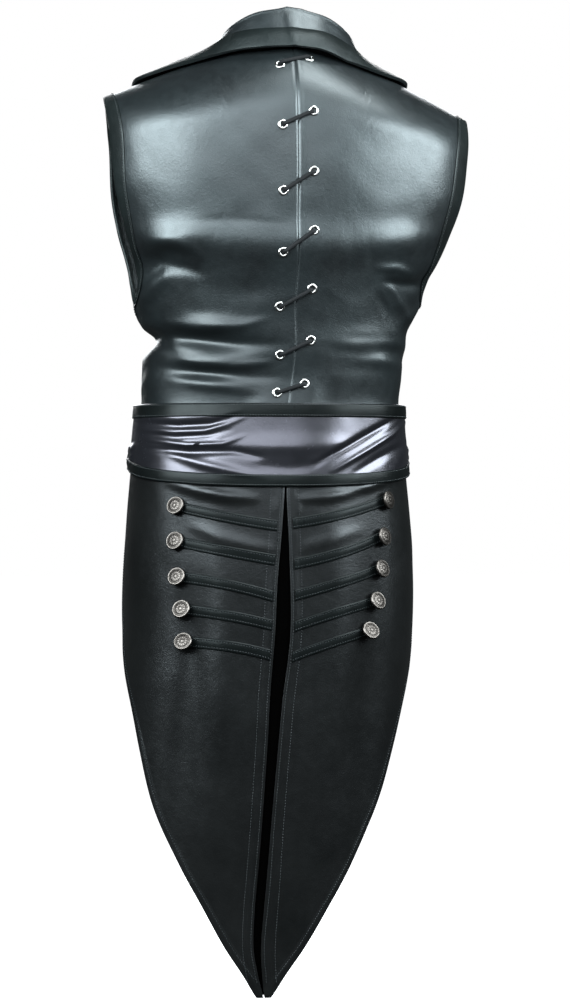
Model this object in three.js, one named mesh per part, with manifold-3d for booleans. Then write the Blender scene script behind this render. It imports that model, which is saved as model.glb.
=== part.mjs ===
// A sleeveless leather tailcoat: a waistcoat body, a wide turned-down collar, a waistband and two tails.
// It keeps the hollow form it has when worn. Millimetres, +Z up. The back faces +Y, and +X is the
// wearer's left. The origin is between the shoulders, at the middle of the shoulder line.
import * as THREE from 'three';
import { mergeVertices } from 'three/addons/utils/BufferGeometryUtils.js';
import Module from 'manifold-3d';

const wasm = await Module();
wasm.setup();

// Thicknesses and clearances
const LEATHER = 2.0;
const BAND_LEATHER = 1.4;
const BINDING_LEATHER = 1.1;
const SEAM_GAP = 0.2;
const LAYER_GAP = 0.4;
const RIDGE_GAP = 0.7;
const WAIST_GAP = 0.6;

// Body: the section is a superellipse, half wide, back and front deep at each height.
// drift shifts a section sideways, seam shifts only the centre back, lean drops the right side.
const SECTION_POWER = 2 / 2.3;
const BODY = [
  { z: 95, half: 228, back: 98, front: 90, drift: -1, seam: 5, lean: 0.046 },
  { z: 0, half: 228, back: 112, front: 102, drift: -1, seam: 4, lean: 0.046 },
  { z: -60, half: 229, back: 118, front: 114, drift: -1, seam: 3.5, lean: 0.042 },
  { z: -120, half: 225, back: 120, front: 123, drift: 1, seam: 1.5, lean: 0.032 },
  { z: -170, half: 209.5, back: 118, front: 126, drift: 5, seam: -2, lean: 0.022 },
  { z: -215, half: 190, back: 113, front: 121, drift: 8, seam: -6, lean: 0.014 },
  { z: -262, half: 170, back: 106, front: 111, drift: 14, seam: -10, lean: 0.006 },
  { z: -305, half: 161, back: 101, front: 103, drift: 15, seam: -12.5, lean: 0 },
  { z: -345, half: 158, back: 99, front: 99, drift: 18, seam: -12.5, lean: 0 },
  { z: -390, half: 162, back: 103, front: 100, drift: 20, seam: -8, lean: 0 },
  { z: -470, half: 169, back: 112, front: 106, drift: 21, seam: 0, lean: 0 },
  { z: -560, half: 176, back: 119, front: 112, drift: 21, seam: 0, lean: 0 },
  { z: -650, half: 178, back: 123, front: 114, drift: 22, seam: 0, lean: 0 },
  { z: -744, half: 178, back: 124, front: 114, drift: 30, seam: 0, lean: 0 },
  { z: -866, half: 178, back: 122, front: 114, drift: 37.5, seam: 0, lean: 0 },
  { z: -988, half: 176, back: 119, front: 114, drift: 41, seam: 0, lean: 0 },
  { z: -1110, half: 174, back: 116, front: 114, drift: 45, seam: 0, lean: 0 },
];

// Shoulders, neckline and armholes
const NECK_X = 88;
const NECK_Z = 44;
const SHOULDER_SLOPE = 0.46;
const SHOULDER_RISE = 110;
const SHOULDER_RISE_LOSS = 0.23;
const NAPE_ANGLE = 0.78;
const ARM_BOTTOM = -262;
const ARM_MIDDLE = -131;
const ARM_BACK_DEPTH = 48;
const ARM_FRONT_DEPTH = 58;
const ARM_ROUNDNESS = 2.2;
const BODICE_BOTTOM = -400;
const BREAK_Z = -226;
const LAP_RIGHT = 14;
const LAP_LEFT = 10;
const LAP_LIFT = 2.7;
const WAIST_LAP_LIFT = 4.4;
const ARM_ROW = 0.4;
const COLUMN_STEP = THREE.MathUtils.degToRad(9);

// Soft folds of the worn leather, in degrees round from the centre back and millimetres.
// run and wide are half sizes, rise is how much higher the far end lies, out is the depth.
const FOLDS = [
  { turn: 56, z: -212, run: 16, rise: -12, wide: 13, out: -6 },
  { turn: 46, z: -190, run: 16, rise: -6, wide: 14, out: 4 },
  { turn: 70, z: -250, run: 14, rise: -16, wide: 15, out: 4 },
  { turn: 33, z: -288, run: 17, rise: 2, wide: 10, out: 4.5 },
  { turn: 44, z: -305, run: 24, rise: 6, wide: 9, out: -6 },
  { turn: 88, z: -306, run: 16, rise: -2, wide: 13, out: -21 },
  { turn: 34, z: -331, run: 16, rise: 0, wide: 9, out: 4 },
  { turn: 40, z: -345, run: 22, rise: 4, wide: 8, out: -5 },
  { turn: 36, z: -358, run: 17, rise: 3, wide: 8, out: 2 },
  { turn: -62, z: -232, run: 14, rise: -8, wide: 13, out: -5 },
  { turn: -76, z: -262, run: 16, rise: -14, wide: 13, out: 5 },
  { turn: -42, z: -307, run: 22, rise: 5, wide: 10, out: 2 },
  { turn: -60, z: -320, run: 20, rise: 6, wide: 9, out: -3 },
  { turn: -92, z: -299, run: 16, rise: 2, wide: 10, out: -8 },
  { turn: -50, z: -332, run: 18, rise: 4, wide: 9, out: 1.8 },
  { turn: 128, z: -292, run: 22, rise: -8, wide: 12, out: -6 },
  { turn: 134, z: -322, run: 20, rise: -4, wide: 12, out: 4 },
  { turn: -128, z: -300, run: 22, rise: -8, wide: 12, out: -6 },
  { turn: -136, z: -330, run: 20, rise: -4, wide: 12, out: 4 },
  { turn: 34, z: -760, run: 7, rise: 0, wide: 170, out: -5 },
  { turn: -38, z: -740, run: 8, rise: 0, wide: 180, out: -5 },
  { turn: 20, z: -700, run: 7, rise: 0, wide: 150, out: 3 },
  { turn: -20, z: -720, run: 8, rise: 0, wide: 170, out: 3 },
];

// Waistband and its bindings
const WAIST_TOP = -384;
const WAIST_SIDE_BOTTOM = -463;
const WAIST_BACK_DIP = 21;
const WAIST_INNER = LEATHER + WAIST_GAP;
const WAIST_OUTER = WAIST_INNER + 2.2;
const TOP_BINDING_WIDTH = 16;
const BOTTOM_BINDING_WIDTH = 14;
const WAIST_LAP = 0.1;

// Tails: edge is how far round the outer edge lies, in degrees; slit and gap place the slit.
const TAIL_TOP = -450;
const TAILS = [
  { z: -450, edge: 108, slit: -4, gap: 1.2 },
  { z: -490, edge: 108, slit: -4, gap: 1.6 },
  { z: -548, edge: 104, slit: -2, gap: 5 },
  { z: -610, edge: 97, slit: 0, gap: 8.6 },
  { z: -680, edge: 84, slit: 0, gap: 9.6 },
  { z: -744, edge: 68, slit: 1, gap: 8 },
  { z: -793, edge: 59, slit: 1, gap: 7 },
  { z: -866, edge: 47.5, slit: 2.5, gap: 6.2 },
  { z: -939, edge: 33, slit: 6, gap: 6 },
  { z: -988, edge: 22.6, slit: 9, gap: 6 },
  { z: -1037, edge: 13.2, slit: 10, gap: 5 },
  { z: -1070, edge: 6.4, slit: 5.5, gap: 3 },
  { z: -1097, edge: 1.9, slit: 0, gap: 0.8 },
];
const TAIL_BOTTOM = -1097;
const UNDERLAP_HALF = 26;
const UNDERLAP_INNER = -2.2;
const UNDERLAP_OUTER = -0.5;

// Bands on the tails: how far out the button lies, and the heights of the middle line at the
// button, half way and at the slit.
const BAND_WIDTH = 13;
const BANDS = {
  left: [
    { button: 123, outer: -508, middle: -522, inner: -532 },
    { button: 124.6, outer: -550, middle: -563, inner: -574 },
    { button: 123, outer: -593, middle: -603, inner: -620 },
    { button: 118.4, outer: -632, middle: -640, inner: -654 },
    { button: 115, outer: -671, middle: -676, inner: -690 },
  ],
  right: [
    { button: 130, outer: -501, middle: -519, inner: -530 },
    { button: 124.8, outer: -545, middle: -566, inner: -579 },
    { button: 121.7, outer: -584, middle: -602, inner: -618 },
    { button: 116, outer: -623, middle: -638, inner: -657 },
    { button: 107.4, outer: -659, middle: -674, inner: -694 },
  ],
};
const BUTTON_RADIUS = 11.2;

// Lacing: heights of the left and right eyelets and how far they stand out from the centre seam.
const EYELETS = [
  { left: 24, right: 35, out: 18 },
  { left: -50, right: -31, out: 19 },
  { left: -129, right: -104, out: 18.5 },
  { left: -202, right: -175, out: 19 },
  { left: -267, right: -245, out: 19 },
  { left: -325, right: -307, out: 18 },
  { left: -371, right: -360, out: 16 },
];
const EYELET_HOLE = 3.7;
const LACE_RADIUS = 2.0;

// Collar: how high the fold stands over the neck seam, and the outer edge on the left and right.
const COLLAR_LIFT = 9.2;
const COLLAR_WALL = 2.0;
const COLLAR = [
  { along: 0, stand: 45.5, leftX: 0, leftY: 97, leftZ: 50, rightX: 0, rightY: 97, rightZ: 50 },
  { along: 0.1, stand: 46.5, leftX: 40, leftY: 89, leftZ: 47, rightX: 36, rightY: 89, rightZ: 48 },
  { along: 0.2, stand: 33, leftX: 80, leftY: 66, leftZ: 41, rightX: 72, rightY: 70, rightZ: 37 },
  { along: 0.3, stand: 14, leftX: 134, leftY: 38, leftZ: 25, rightX: 110, rightY: 52, rightZ: 24 },
  { along: 0.4, stand: 13, leftX: 180, leftY: 8, leftZ: 8, rightX: 143, rightY: 22, rightZ: 10 },
  { along: 0.5, stand: 14, leftX: 186, leftY: -34, leftZ: -22, rightX: 157, rightY: -28, rightZ: -14 },
  { along: 0.62, stand: 15, leftX: 168, leftY: -80, leftZ: -74, rightX: 150, rightY: -80, rightZ: -70 },
  { along: 0.75, stand: 15, leftX: 124, leftY: -116, leftZ: -134, rightX: 114, rightY: -116, rightZ: -134 },
  { along: 0.88, stand: 15, leftX: 72, leftY: -128, leftZ: -186, rightX: 68, rightY: -128, rightZ: -186 },
  { along: 1, stand: 15, leftX: 20, leftY: -132, leftZ: -216, rightX: 20, rightY: -132, rightZ: -216 },
];
const COLLAR_NECK_SHARE = 0.35;
const COLLAR_BINDING_WIDTH = 24;

// Finishes
const FINISHES = {
  leather: new THREE.MeshStandardMaterial({ color: 0x2b3133, roughness: 0.38, metalness: 0 }),
  tail_leather: new THREE.MeshStandardMaterial({ color: 0x222628, roughness: 0.5, metalness: 0 }),
  waist_leather: new THREE.MeshStandardMaterial({ color: 0x26282c, roughness: 0.28, metalness: 0 }),
  binding: new THREE.MeshStandardMaterial({ color: 0x1c2424, roughness: 0.8, metalness: 0 }),
  underlap: new THREE.MeshStandardMaterial({ color: 0x060606, roughness: 0.95, metalness: 0 }),
  lace: new THREE.MeshStandardMaterial({ color: 0x101212, roughness: 0.75, metalness: 0 }),
  nickel: new THREE.MeshStandardMaterial({ color: 0xc9cccc, roughness: 0.25, metalness: 1 }),
  antique_silver: new THREE.MeshStandardMaterial({ color: 0x7c7a74, roughness: 0.4, metalness: 1 }),
};

const { clamp, lerp, smoothstep, degToRad } = THREE.MathUtils;
const vec = (x, y, z) => new THREE.Vector3(x, y, z);
const signedPower = (value, power) => Math.sign(value) * Math.abs(value) ** power;
const group = new THREE.Group();

// A smooth value of one column of a table, by height or by another rising or falling key.
function column(rows, name, at, key = 'z') {
  const way = Math.sign(rows[1][key] - rows[0][key]);
  let i = 0;
  while (i < rows.length - 2 && way * at > way * rows[i + 1][key]) i += 1;
  const before = rows[Math.max(i - 1, 0)];
  const after = rows[Math.min(i + 2, rows.length - 1)];
  const [a, b] = [rows[i], rows[i + 1]];
  const span = b[key] - a[key];
  const u = clamp((at - a[key]) / span, 0, 1);
  const startSlope = (span * (b[name] - before[name])) / (b[key] - before[key]);
  const endSlope = (span * (after[name] - a[name])) / (after[key] - a[key]);
  const [u2, u3] = [u * u, u * u * u];
  const fromStart = (2 * u3 - 3 * u2 + 1) * a[name] + (u3 - 2 * u2 + u) * startSlope;
  return fromStart + (3 * u2 - 2 * u3) * b[name] + (u3 - u2) * endSlope;
}

const ridgeAt = (x) => NECK_Z - (Math.abs(x) - NECK_X) * SHOULDER_SLOPE;
const riseAt = (x) => SHOULDER_RISE - SHOULDER_RISE_LOSS * Math.abs(x);

// How much of its depth a section keeps at a height: all of it, until it rounds over the shoulder.
function shoulderShare(x, z) {
  const u = (z - ridgeAt(x) + riseAt(x)) / riseAt(x);
  return u <= 0 ? 1 : Math.sqrt(Math.max(0, 1 - u * u));
}

// The bare body form, turn radians round from the centre back.
function form(turn, z) {
  const x = column(BODY, 'half', z) * signedPower(Math.sin(turn), SECTION_POWER);
  const deep = column(BODY, Math.cos(turn) > 0 ? 'back' : 'front', z);
  const y = deep * signedPower(Math.cos(turn), SECTION_POWER) * shoulderShare(x, z);
  return vec(x, y, z);
}

function foldDepth(turn, z) {
  const degrees = THREE.MathUtils.radToDeg(turn);
  let out = 0;
  for (const fold of FOLDS) {
    const along = (degrees - fold.turn) / fold.run;
    const across = (z - fold.z - fold.rise * along) / fold.wide;
    if (Math.abs(along) < 3 && Math.abs(across) < 3) out += fold.out * Math.exp(-along * along - across * across);
  }
  return out;
}

function outward(turn, z) {
  const step = 0.02;
  const high = Math.min(z + 1.5, ridgeAt(form(turn, z).x));
  const round = form(turn + step, z).sub(form(turn - step, z));
  const up = form(turn, high).sub(form(turn, z - 1.5));
  return round.cross(up).normalize().multiplyScalar(-1);
}

// A point of a layer, height millimetres out from the inside of the leather.
function layer(turn, z, height) {
  const n = outward(turn, z);
  return form(turn, z).addScaledVector(n, height + foldDepth(turn, z));
}

// The way the wearer stands: the body drifts sideways towards the waist and leans a little.
function posed(p) {
  const middle = clamp(p.y / 110, 0, 1);
  const x = p.x + column(BODY, 'drift', p.z) + column(BODY, 'seam', p.z) * middle;
  return vec(x, p.y, p.z + column(BODY, 'lean', p.z) * p.x);
}

// Meshes: triangles are turned to face out, and shared corners are merged.
function signedVolume(points, triangles) {
  let volume = 0;
  for (const [a, b, c] of triangles) volume += points[a].dot(points[b].clone().cross(points[c]));
  return volume / 6;
}

function geometryOf(points, triangles) {
  const faces = signedVolume(points, triangles) < 0 ? triangles.map(([a, b, c]) => [a, c, b]) : triangles;
  const geometry = new THREE.BufferGeometry();
  geometry.setAttribute('position', new THREE.Float32BufferAttribute(points.flatMap((p) => p.toArray()), 3));
  geometry.setIndex(faces.flat());
  return geometry;
}

// A wall between an outer and an inner grid of points, closed along its four edges.
function wall(outer, inner) {
  const rows = outer.length;
  const cols = outer[0].length;
  const points = [...outer.flat(), ...inner.flat()];
  const half = rows * cols;
  const triangles = [];
  const quad = (a, b, c, d) => triangles.push([a, b, c], [a, c, d]);
  for (let i = 0; i < rows - 1; i += 1) {
    for (let j = 0; j < cols - 1; j += 1) {
      const a = i * cols + j;
      quad(a, a + 1, a + cols + 1, a + cols);
      triangles.push([half + a, half + a + cols + 1, half + a + 1]);
      triangles.push([half + a, half + a + cols, half + a + cols + 1]);
    }
  }
  const rim = [];
  for (let j = 0; j < cols; j += 1) rim.push(j);
  for (let i = 1; i < rows; i += 1) rim.push(i * cols + cols - 1);
  for (let j = cols - 2; j >= 0; j -= 1) rim.push((rows - 1) * cols + j);
  for (let i = rows - 2; i > 0; i -= 1) rim.push(i * cols);
  rim.forEach((a, k) => {
    const b = rim[(k + 1) % rim.length];
    quad(b, a, half + a, half + b);
  });
  return geometryOf(points, triangles);
}

// A skin through sections of equal count, closed on itself or capped at both ends.
function loft(sections, closed, caps = [], crossed = []) {
  const count = sections[0].length;
  const points = sections.flat();
  const triangles = [];
  const last = closed ? sections.length : sections.length - 1;
  for (let i = 0; i < last; i += 1) {
    const next = (i + 1) % sections.length;
    for (let j = 0; j < count; j += 1) {
      const k = (j + 1) % count;
      const [a, b, c, d] = [i * count + j, i * count + k, next * count + k, next * count + j];
      triangles.push(...(crossed.includes(j) ? [[a, b, d], [b, c, d]] : [[a, b, c], [a, c, d]]));
    }
  }
  const end = (sections.length - 1) * count;
  for (const [a, b, c] of closed ? [] : caps) {
    triangles.push([a, c, b], [end + a, end + b, end + c]);
  }
  return geometryOf(points, triangles);
}

const FLAT_CAP = [[0, 1, 2], [0, 2, 3]];
const HOOK_CAP = [[0, 1, 6], [0, 6, 7], [1, 2, 5], [1, 5, 6], [2, 3, 4], [2, 4, 5]];

function solidOf(geometry) {
  const bare = geometry.clone();
  bare.deleteAttribute('normal');
  bare.deleteAttribute('uv');
  const merged = mergeVertices(bare, 1e-4);
  const vertProperties = new Float32Array(merged.attributes.position.array);
  return new wasm.Manifold(new wasm.Mesh({ numProp: 3, vertProperties, triVerts: new Uint32Array(merged.index.array) }));
}

function geometryOfSolid(solid) {
  const body = solid.decompose().sort((a, b) => b.volume() - a.volume())[0];
  const mesh = body.getMesh();
  const geometry = new THREE.BufferGeometry();
  geometry.setAttribute('position', new THREE.BufferAttribute(new Float32Array(mesh.vertProperties), 3));
  geometry.setIndex([...mesh.triVerts]);
  return geometry;
}

function add(name, geometry, finish) {
  const mesh = new THREE.Mesh(geometry, FINISHES[finish]);
  mesh.name = name;
  group.add(mesh);
}

// Bodice panels. face is 1 on the back and -1 on the front, side is 1 on the wearer's left.
function armAngle(face, z) {
  const deep = column(BODY, face > 0 ? 'back' : 'front', z);
  const reach = Math.min(1, Math.abs((z - ARM_MIDDLE) / (ARM_MIDDLE - ARM_BOTTOM)));
  const share = (1 - reach ** ARM_ROUNDNESS) ** (1 / ARM_ROUNDNESS);
  const y = share * (face > 0 ? ARM_BACK_DEPTH : ARM_FRONT_DEPTH);
  return z < ARM_BOTTOM ? Math.PI / 2 : Math.acos((y / deep) ** (1 / SECTION_POWER));
}

// The front edge runs down the middle, over the lap, and above the break up to the neck point.
function frontAngle(side, z) {
  const lap = side > 0 ? LAP_LEFT : LAP_RIGHT;
  const u = clamp((z - BREAK_Z) / (NECK_Z - BREAK_Z), 0, 1);
  const x = -lap + (NECK_X + lap) * u ** 0.8;
  return Math.asin(signedPower(x / column(BODY, 'half', z), 1 / SECTION_POWER));
}

// The height and angle of a place on a panel: a from the middle to the side, t from the hem to the top.
function placeOn(side, face, a, t) {
  const startAngle = (z) => (face > 0 ? 0 : frontAngle(side, z));
  const angleAt = (z) => lerp(startAngle(z), armAngle(face, z), a);
  if (t <= ARM_ROW) {
    const z = lerp(BODICE_BOTTOM, ARM_BOTTOM, t / ARM_ROW);
    return { angle: angleAt(z), z };
  }
  const s = ((t - ARM_ROW) / (1 - ARM_ROW)) ** 1.25;
  let z = lerp(ARM_BOTTOM, NECK_Z, s);
  for (let round = 0; round < 8; round += 1) {
    const x = column(BODY, 'half', z) * signedPower(Math.sin(angleAt(z)), SECTION_POWER);
    const inNeck = face > 0 && Math.abs(x) < NECK_X;
    const topAngle = inNeck ? NAPE_ANGLE * Math.sqrt(1 - (x / NECK_X) ** 2) : 0;
    const rise = riseAt(x);
    const deep = column(BODY, 'back', z) * Math.abs(Math.cos(angleAt(z))) ** SECTION_POWER;
    const curved = (Math.PI / 2 - topAngle) * (rise + deep) * 0.5;
    const straight = ridgeAt(x) - rise - ARM_BOTTOM;
    const run = s * (curved + straight);
    const swing = Math.PI / 2 - ((run - straight) / curved) * (Math.PI / 2 - topAngle);
    z = run < straight ? ARM_BOTTOM + run : ridgeAt(x) - rise + rise * Math.cos(swing);
  }
  return { angle: angleAt(z), z };
}

function lapLift(side, face, x) {
  return face < 0 && side < 0 ? LAP_LIFT * (1 - smoothstep(x, 34, 66)) : 0;
}

function panelPoint(side, face, a, t, height) {
  const { angle, z } = placeOn(side, face, a, t);
  const turn = face > 0 ? side * angle : side * (Math.PI - angle);
  const own = side * form(turn, z).x;
  const p = layer(turn, z, height + lapLift(side, face, own));
  if (face > 0) p.x += side * SEAM_GAP;
  p.y += face * (t > 0.98 ? RIDGE_GAP : SEAM_GAP);
  return p;
}

// Columns fall on steps of nine degrees below the armhole, so that the waistband lies close on them.
function panelColumns(side, face) {
  const start = face > 0 ? 0 : frontAngle(side, BODICE_BOTTOM);
  const shares = face > 0 ? [] : [0];
  const steps = face > 0 ? [0, 0.5, 1, 2, 3, 4, 5, 6, 7, 8, 9, 10] : [0, 1, 2, 3, 4, 5, 6, 7, 8, 9, 10];
  for (const k of steps) shares.push((k * COLUMN_STEP - start) / (Math.PI / 2 - start));
  return shares;
}

function panelRows(low, high) {
  const rows = [];
  for (let k = 0; k < low; k += 1) rows.push((ARM_ROW * k) / low);
  for (let k = 0; k <= high; k += 1) rows.push(ARM_ROW + ((1 - ARM_ROW) * k) / high);
  return rows;
}

// grow makes the wall larger all round, for cutting a clearance into what wraps it.
function panelWall(side, face, grow = 0) {
  const rows = face > 0 ? panelRows(9, 8) : panelRows(5, 8);
  const columns = panelColumns(side, face);
  const grid = (height) => rows.map((t) => columns.map((a) => panelPoint(side, face, a, t, height)));
  const outer = grid(LEATHER + grow);
  const inner = grid(-grow);
  if (grow > 0) {
    for (const points of [outer, inner]) {
      const last = points.length - 1;
      for (const row of points) stretch(row, row.length - 1, row.length - 2, grow);
      points[last].forEach((p, j) => p.addScaledVector(p.clone().sub(points[last - 1][j]).normalize(), grow * 2));
    }
  }
  return wall(outer.map((row) => row.map(posed)), inner.map((row) => row.map(posed)));
}

function stretch(row, at, from, amount) {
  row[at].addScaledVector(row[at].clone().sub(row[from]).normalize(), amount);
}

// A piece that is turned with a surface: its own z axis points out from the surface.
function seat(geometry, turn, z, height, shiftX = 0) {
  const n = posed(layer(turn, z, 20)).sub(posed(layer(turn, z, 0))).normalize();
  const p = posed(layer(turn, z, height));
  p.x += shiftX;
  const spin = new THREE.Quaternion().setFromUnitVectors(vec(0, 0, 1), n);
  return geometry.clone().applyQuaternion(spin).translate(p.x, p.y, p.z);
}

function turned(profile, segments) {
  const points = profile.map(([r, z]) => new THREE.Vector2(r, z));
  return new THREE.LatheGeometry(points, segments).rotateX(Math.PI / 2);
}

const turnAt = (x, z) => Math.asin(signedPower(clamp(x / column(BODY, 'half', z), -1, 1), 1 / SECTION_POWER));

// Eyelets, each a rolled ring through its hole, and the holes themselves
const EYELET_PROFILE = [[2.8, -3.2], [3.3, -3.2], [3.3, 0.6], [6.3, 0.6], [4.6, 1.7], [2.8, 1.2], [2.8, -3.2]];
const eyeletPlaces = EYELETS.flatMap((row, i) => [
  { name: `eyelet_left_${i + 1}`, side: 1, x: row.out, z: row.left },
  { name: `eyelet_right_${i + 1}`, side: -1, x: -row.out, z: row.right },
]);

function backPanel(side) {
  let solid = solidOf(panelWall(side, 1));
  const drill = new THREE.CylinderGeometry(EYELET_HOLE, EYELET_HOLE, 12, 8).rotateX(Math.PI / 2);
  for (const place of eyeletPlaces.filter((one) => one.side === side)) {
    solid = solid.subtract(solidOf(seat(drill, turnAt(place.x, place.z), place.z, 1)));
  }
  return geometryOfSolid(solid);
}

function addBodice() {
  for (const [word, side] of [['left', 1], ['right', -1]]) {
    add(`back_${word}`, backPanel(side), 'leather');
    add(`front_${word}`, panelWall(side, -1), 'leather');
    add(`armhole_binding_${word}`, armholeBinding(side), 'binding');
  }
  for (const place of eyeletPlaces) {
    const ring = turned(EYELET_PROFILE, 8);
    add(place.name, seat(ring, turnAt(place.x, place.z), place.z, LEATHER), 'nickel');
  }
}

// The binding widens from the underarm (0) to the shoulder (1), more so on the left.
function armholeBindingWidth(side, u) {
  return side > 0 ? lerp(14, 32, smoothstep(u, 0.15, 0.95)) : lerp(20, 34, smoothstep(u, 0, 0.6));
}

// Armhole binding: a bar round the edge, hollowed by the two panels and their clearance.
function armholeBinding(side) {
  const steps = 12;
  const stations = [];
  const station = (face, u) => {
    const t = lerp(ARM_ROW, 1, u);
    const width = armholeBindingWidth(side, u);
    const slant = degToRad(90 * (1 - smoothstep(u, 0, 0.34)));
    const place = (v) => {
      const a = 1 - (Math.cos(slant) * v) / 215;
      return [a, t - (Math.sin(slant) * v * ARM_ROW) / (ARM_BOTTOM - BODICE_BOTTOM)];
    };
    const at = (v, height) => panelPoint(side, face, ...place(v), height);
    const rim = at(0, 0).sub(at(6, 0)).normalize().multiplyScalar(1.5);
    const outer = LEATHER + 0.35 + BINDING_LEATHER;
    return [
      at(0, outer).add(rim), at(width / 3, outer), at((width * 2) / 3, outer), at(width, outer),
      at(width, -2), at((width * 2) / 3, -2), at(width / 3, -2), at(0, -2).add(rim),
    ].map(posed);
  };
  for (let k = 0; k <= steps; k += 1) stations.push(station(1, k / steps));
  for (let k = steps - 1; k > 0; k -= 1) stations.push(station(-1, k / steps));
  let bar = solidOf(loft(stations, true));
  for (const face of [1, -1]) bar = bar.subtract(solidOf(panelWall(side, face, 0.35)));
  return geometryOfSolid(bar);
}

// Waistband: one band round the body, its right end lapped over its left at the centre front.
function waistTurns() {
  const turns = [-Math.PI - WAIST_LAP];
  for (let k = -20; k <= 20; k += 1) {
    if (k === 0) turns.push(-COLUMN_STEP / 2);
    turns.push(k * COLUMN_STEP);
    if (k === 0) turns.push(COLUMN_STEP / 2);
  }
  turns.push(Math.PI + WAIST_LAP * 0.7);
  return turns;
}

function waistPoint(turn, z, height) {
  const overFronts = (LAP_LIFT + 0.2) * (1 - smoothstep(Math.PI - Math.abs(turn), 0.32, 0.62));
  const overLeftEnd = WAIST_LAP_LIFT * (1 - smoothstep(turn, -Math.PI + 0.16, -Math.PI + 0.5));
  return posed(layer(turn, z, height + overFronts + overLeftEnd));
}

const waistBottom = (turn) => WAIST_SIDE_BOTTOM - WAIST_BACK_DIP * Math.max(0, Math.cos(turn)) ** 0.7;

function waistWall(topAt, bottomAt, rows, inner, outer) {
  const grid = (height) => {
    const line = (k) => waistTurns().map((turn) => waistPoint(turn, lerp(topAt(turn), bottomAt(turn), k / rows), height));
    return Array.from({ length: rows + 1 }, (_, k) => line(k));
  };
  return wall(grid(outer), grid(inner));
}

function addWaistband() {
  const top = () => WAIST_TOP;
  const bindingInner = WAIST_OUTER + LAYER_GAP;
  const bindingOuter = bindingInner + BINDING_LEATHER;
  const topBindingEnd = () => WAIST_TOP - TOP_BINDING_WIDTH;
  const bottomBindingStart = (turn) => waistBottom(turn) + BOTTOM_BINDING_WIDTH;
  add('waistband', waistWall(top, waistBottom, 4, WAIST_INNER, WAIST_OUTER), 'waist_leather');
  add('waistband_top_binding', waistWall(top, topBindingEnd, 1, bindingInner, bindingOuter), 'binding');
  add('waistband_bottom_binding', waistWall(bottomBindingStart, waistBottom, 1, bindingInner, bindingOuter), 'binding');
}

// Tails, the underlap behind the slit, and the bands with their buttons
function slitAngle(side, z) {
  const x = side * column(TAILS, 'slit', z) + column(TAILS, 'gap', z);
  return turnAt(x, z);
}

function tailAngle(side, a, z) {
  return lerp(slitAngle(side, z), degToRad(column(TAILS, 'edge', z)), a);
}

function tailColumns(side) {
  const start = slitAngle(side, TAIL_TOP);
  const end = degToRad(TAILS[0].edge);
  const shares = [0];
  for (let k = 1; k <= 12; k += 1) shares.push((k * COLUMN_STEP - start) / (end - start));
  return shares;
}

const tailPoint = (side, a, z, height) => posed(layer(side * tailAngle(side, a, z), z, height));

function tailWall(side) {
  const count = 17;
  const rows = Array.from({ length: count + 1 }, (_, k) => lerp(TAIL_TOP, TAIL_BOTTOM, k / count));
  const grid = (height) => rows.map((z) => tailColumns(side).map((a) => tailPoint(side, a, z, height)));
  return wall(grid(LEATHER), grid(0));
}

function underlap() {
  const count = 16;
  const grid = (height) => Array.from({ length: count + 1 }, (_, k) => {
    const z = lerp(-468, TAIL_BOTTOM + 3, k / count);
    const half = Math.min(UNDERLAP_HALF, 0.6 * column(BODY, 'half', z) * Math.sin(degToRad(column(TAILS, 'edge', z))));
    return [-1, -0.33, 0.33, 1].map((u) => {
      const x = column(TAILS, 'slit', z) + u * half;
      return posed(layer(turnAt(x, z), z, height));
    });
  });
  return wall(grid(UNDERLAP_OUTER), grid(UNDERLAP_INNER));
}

// The middle line of a band: a parabola through its height at the button, half way and the slit.
function bandHeight(row, share) {
  const bend = 2 * row.outer - 4 * row.middle + 2 * row.inner;
  return row.inner + (row.outer - row.inner - bend) * share + bend * share * share;
}

function bandStation(side, row, a) {
  let z = row.middle;
  let x = 0;
  for (let round = 0; round < 8; round += 1) {
    x = Math.abs(form(side * tailAngle(side, a, z), z).x);
    z = bandHeight(row, clamp(x / row.button, 0, 1));
  }
  return { a, z, x };
}

// Stations at the tail's columns, so that the band lies close, and a last one at the button.
function bandStations(side, row) {
  const stations = tailColumns(side).map((a) => bandStation(side, row, a));
  const kept = stations.filter((one) => one.x < row.button - 6);
  let [near, far] = [stations[kept.length - 1].a, 1];
  for (let round = 0; round < 30; round += 1) {
    const a = (near + far) / 2;
    if (bandStation(side, row, a).x < row.button) near = a;
    else far = a;
  }
  return [...kept, bandStation(side, row, near)];
}

function band(side, row) {
  const inner = LEATHER + LAYER_GAP;
  const outer = inner + BAND_LEATHER;
  const sections = bandStations(side, row).map(({ a, z }) => [
    tailPoint(side, a, z + BAND_WIDTH / 2, outer), tailPoint(side, a, z - BAND_WIDTH / 2, outer),
    tailPoint(side, a, z - BAND_WIDTH / 2, inner), tailPoint(side, a, z + BAND_WIDTH / 2, inner),
  ]);
  return loft(sections, false, FLAT_CAP);
}

// A domed button on a short shank
const BUTTON_PROFILE = [[0, 0], [3.4, 0], [BUTTON_RADIUS, 2.2], [10.6, 4], [6, 6.4], [0, 7.2]];

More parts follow.
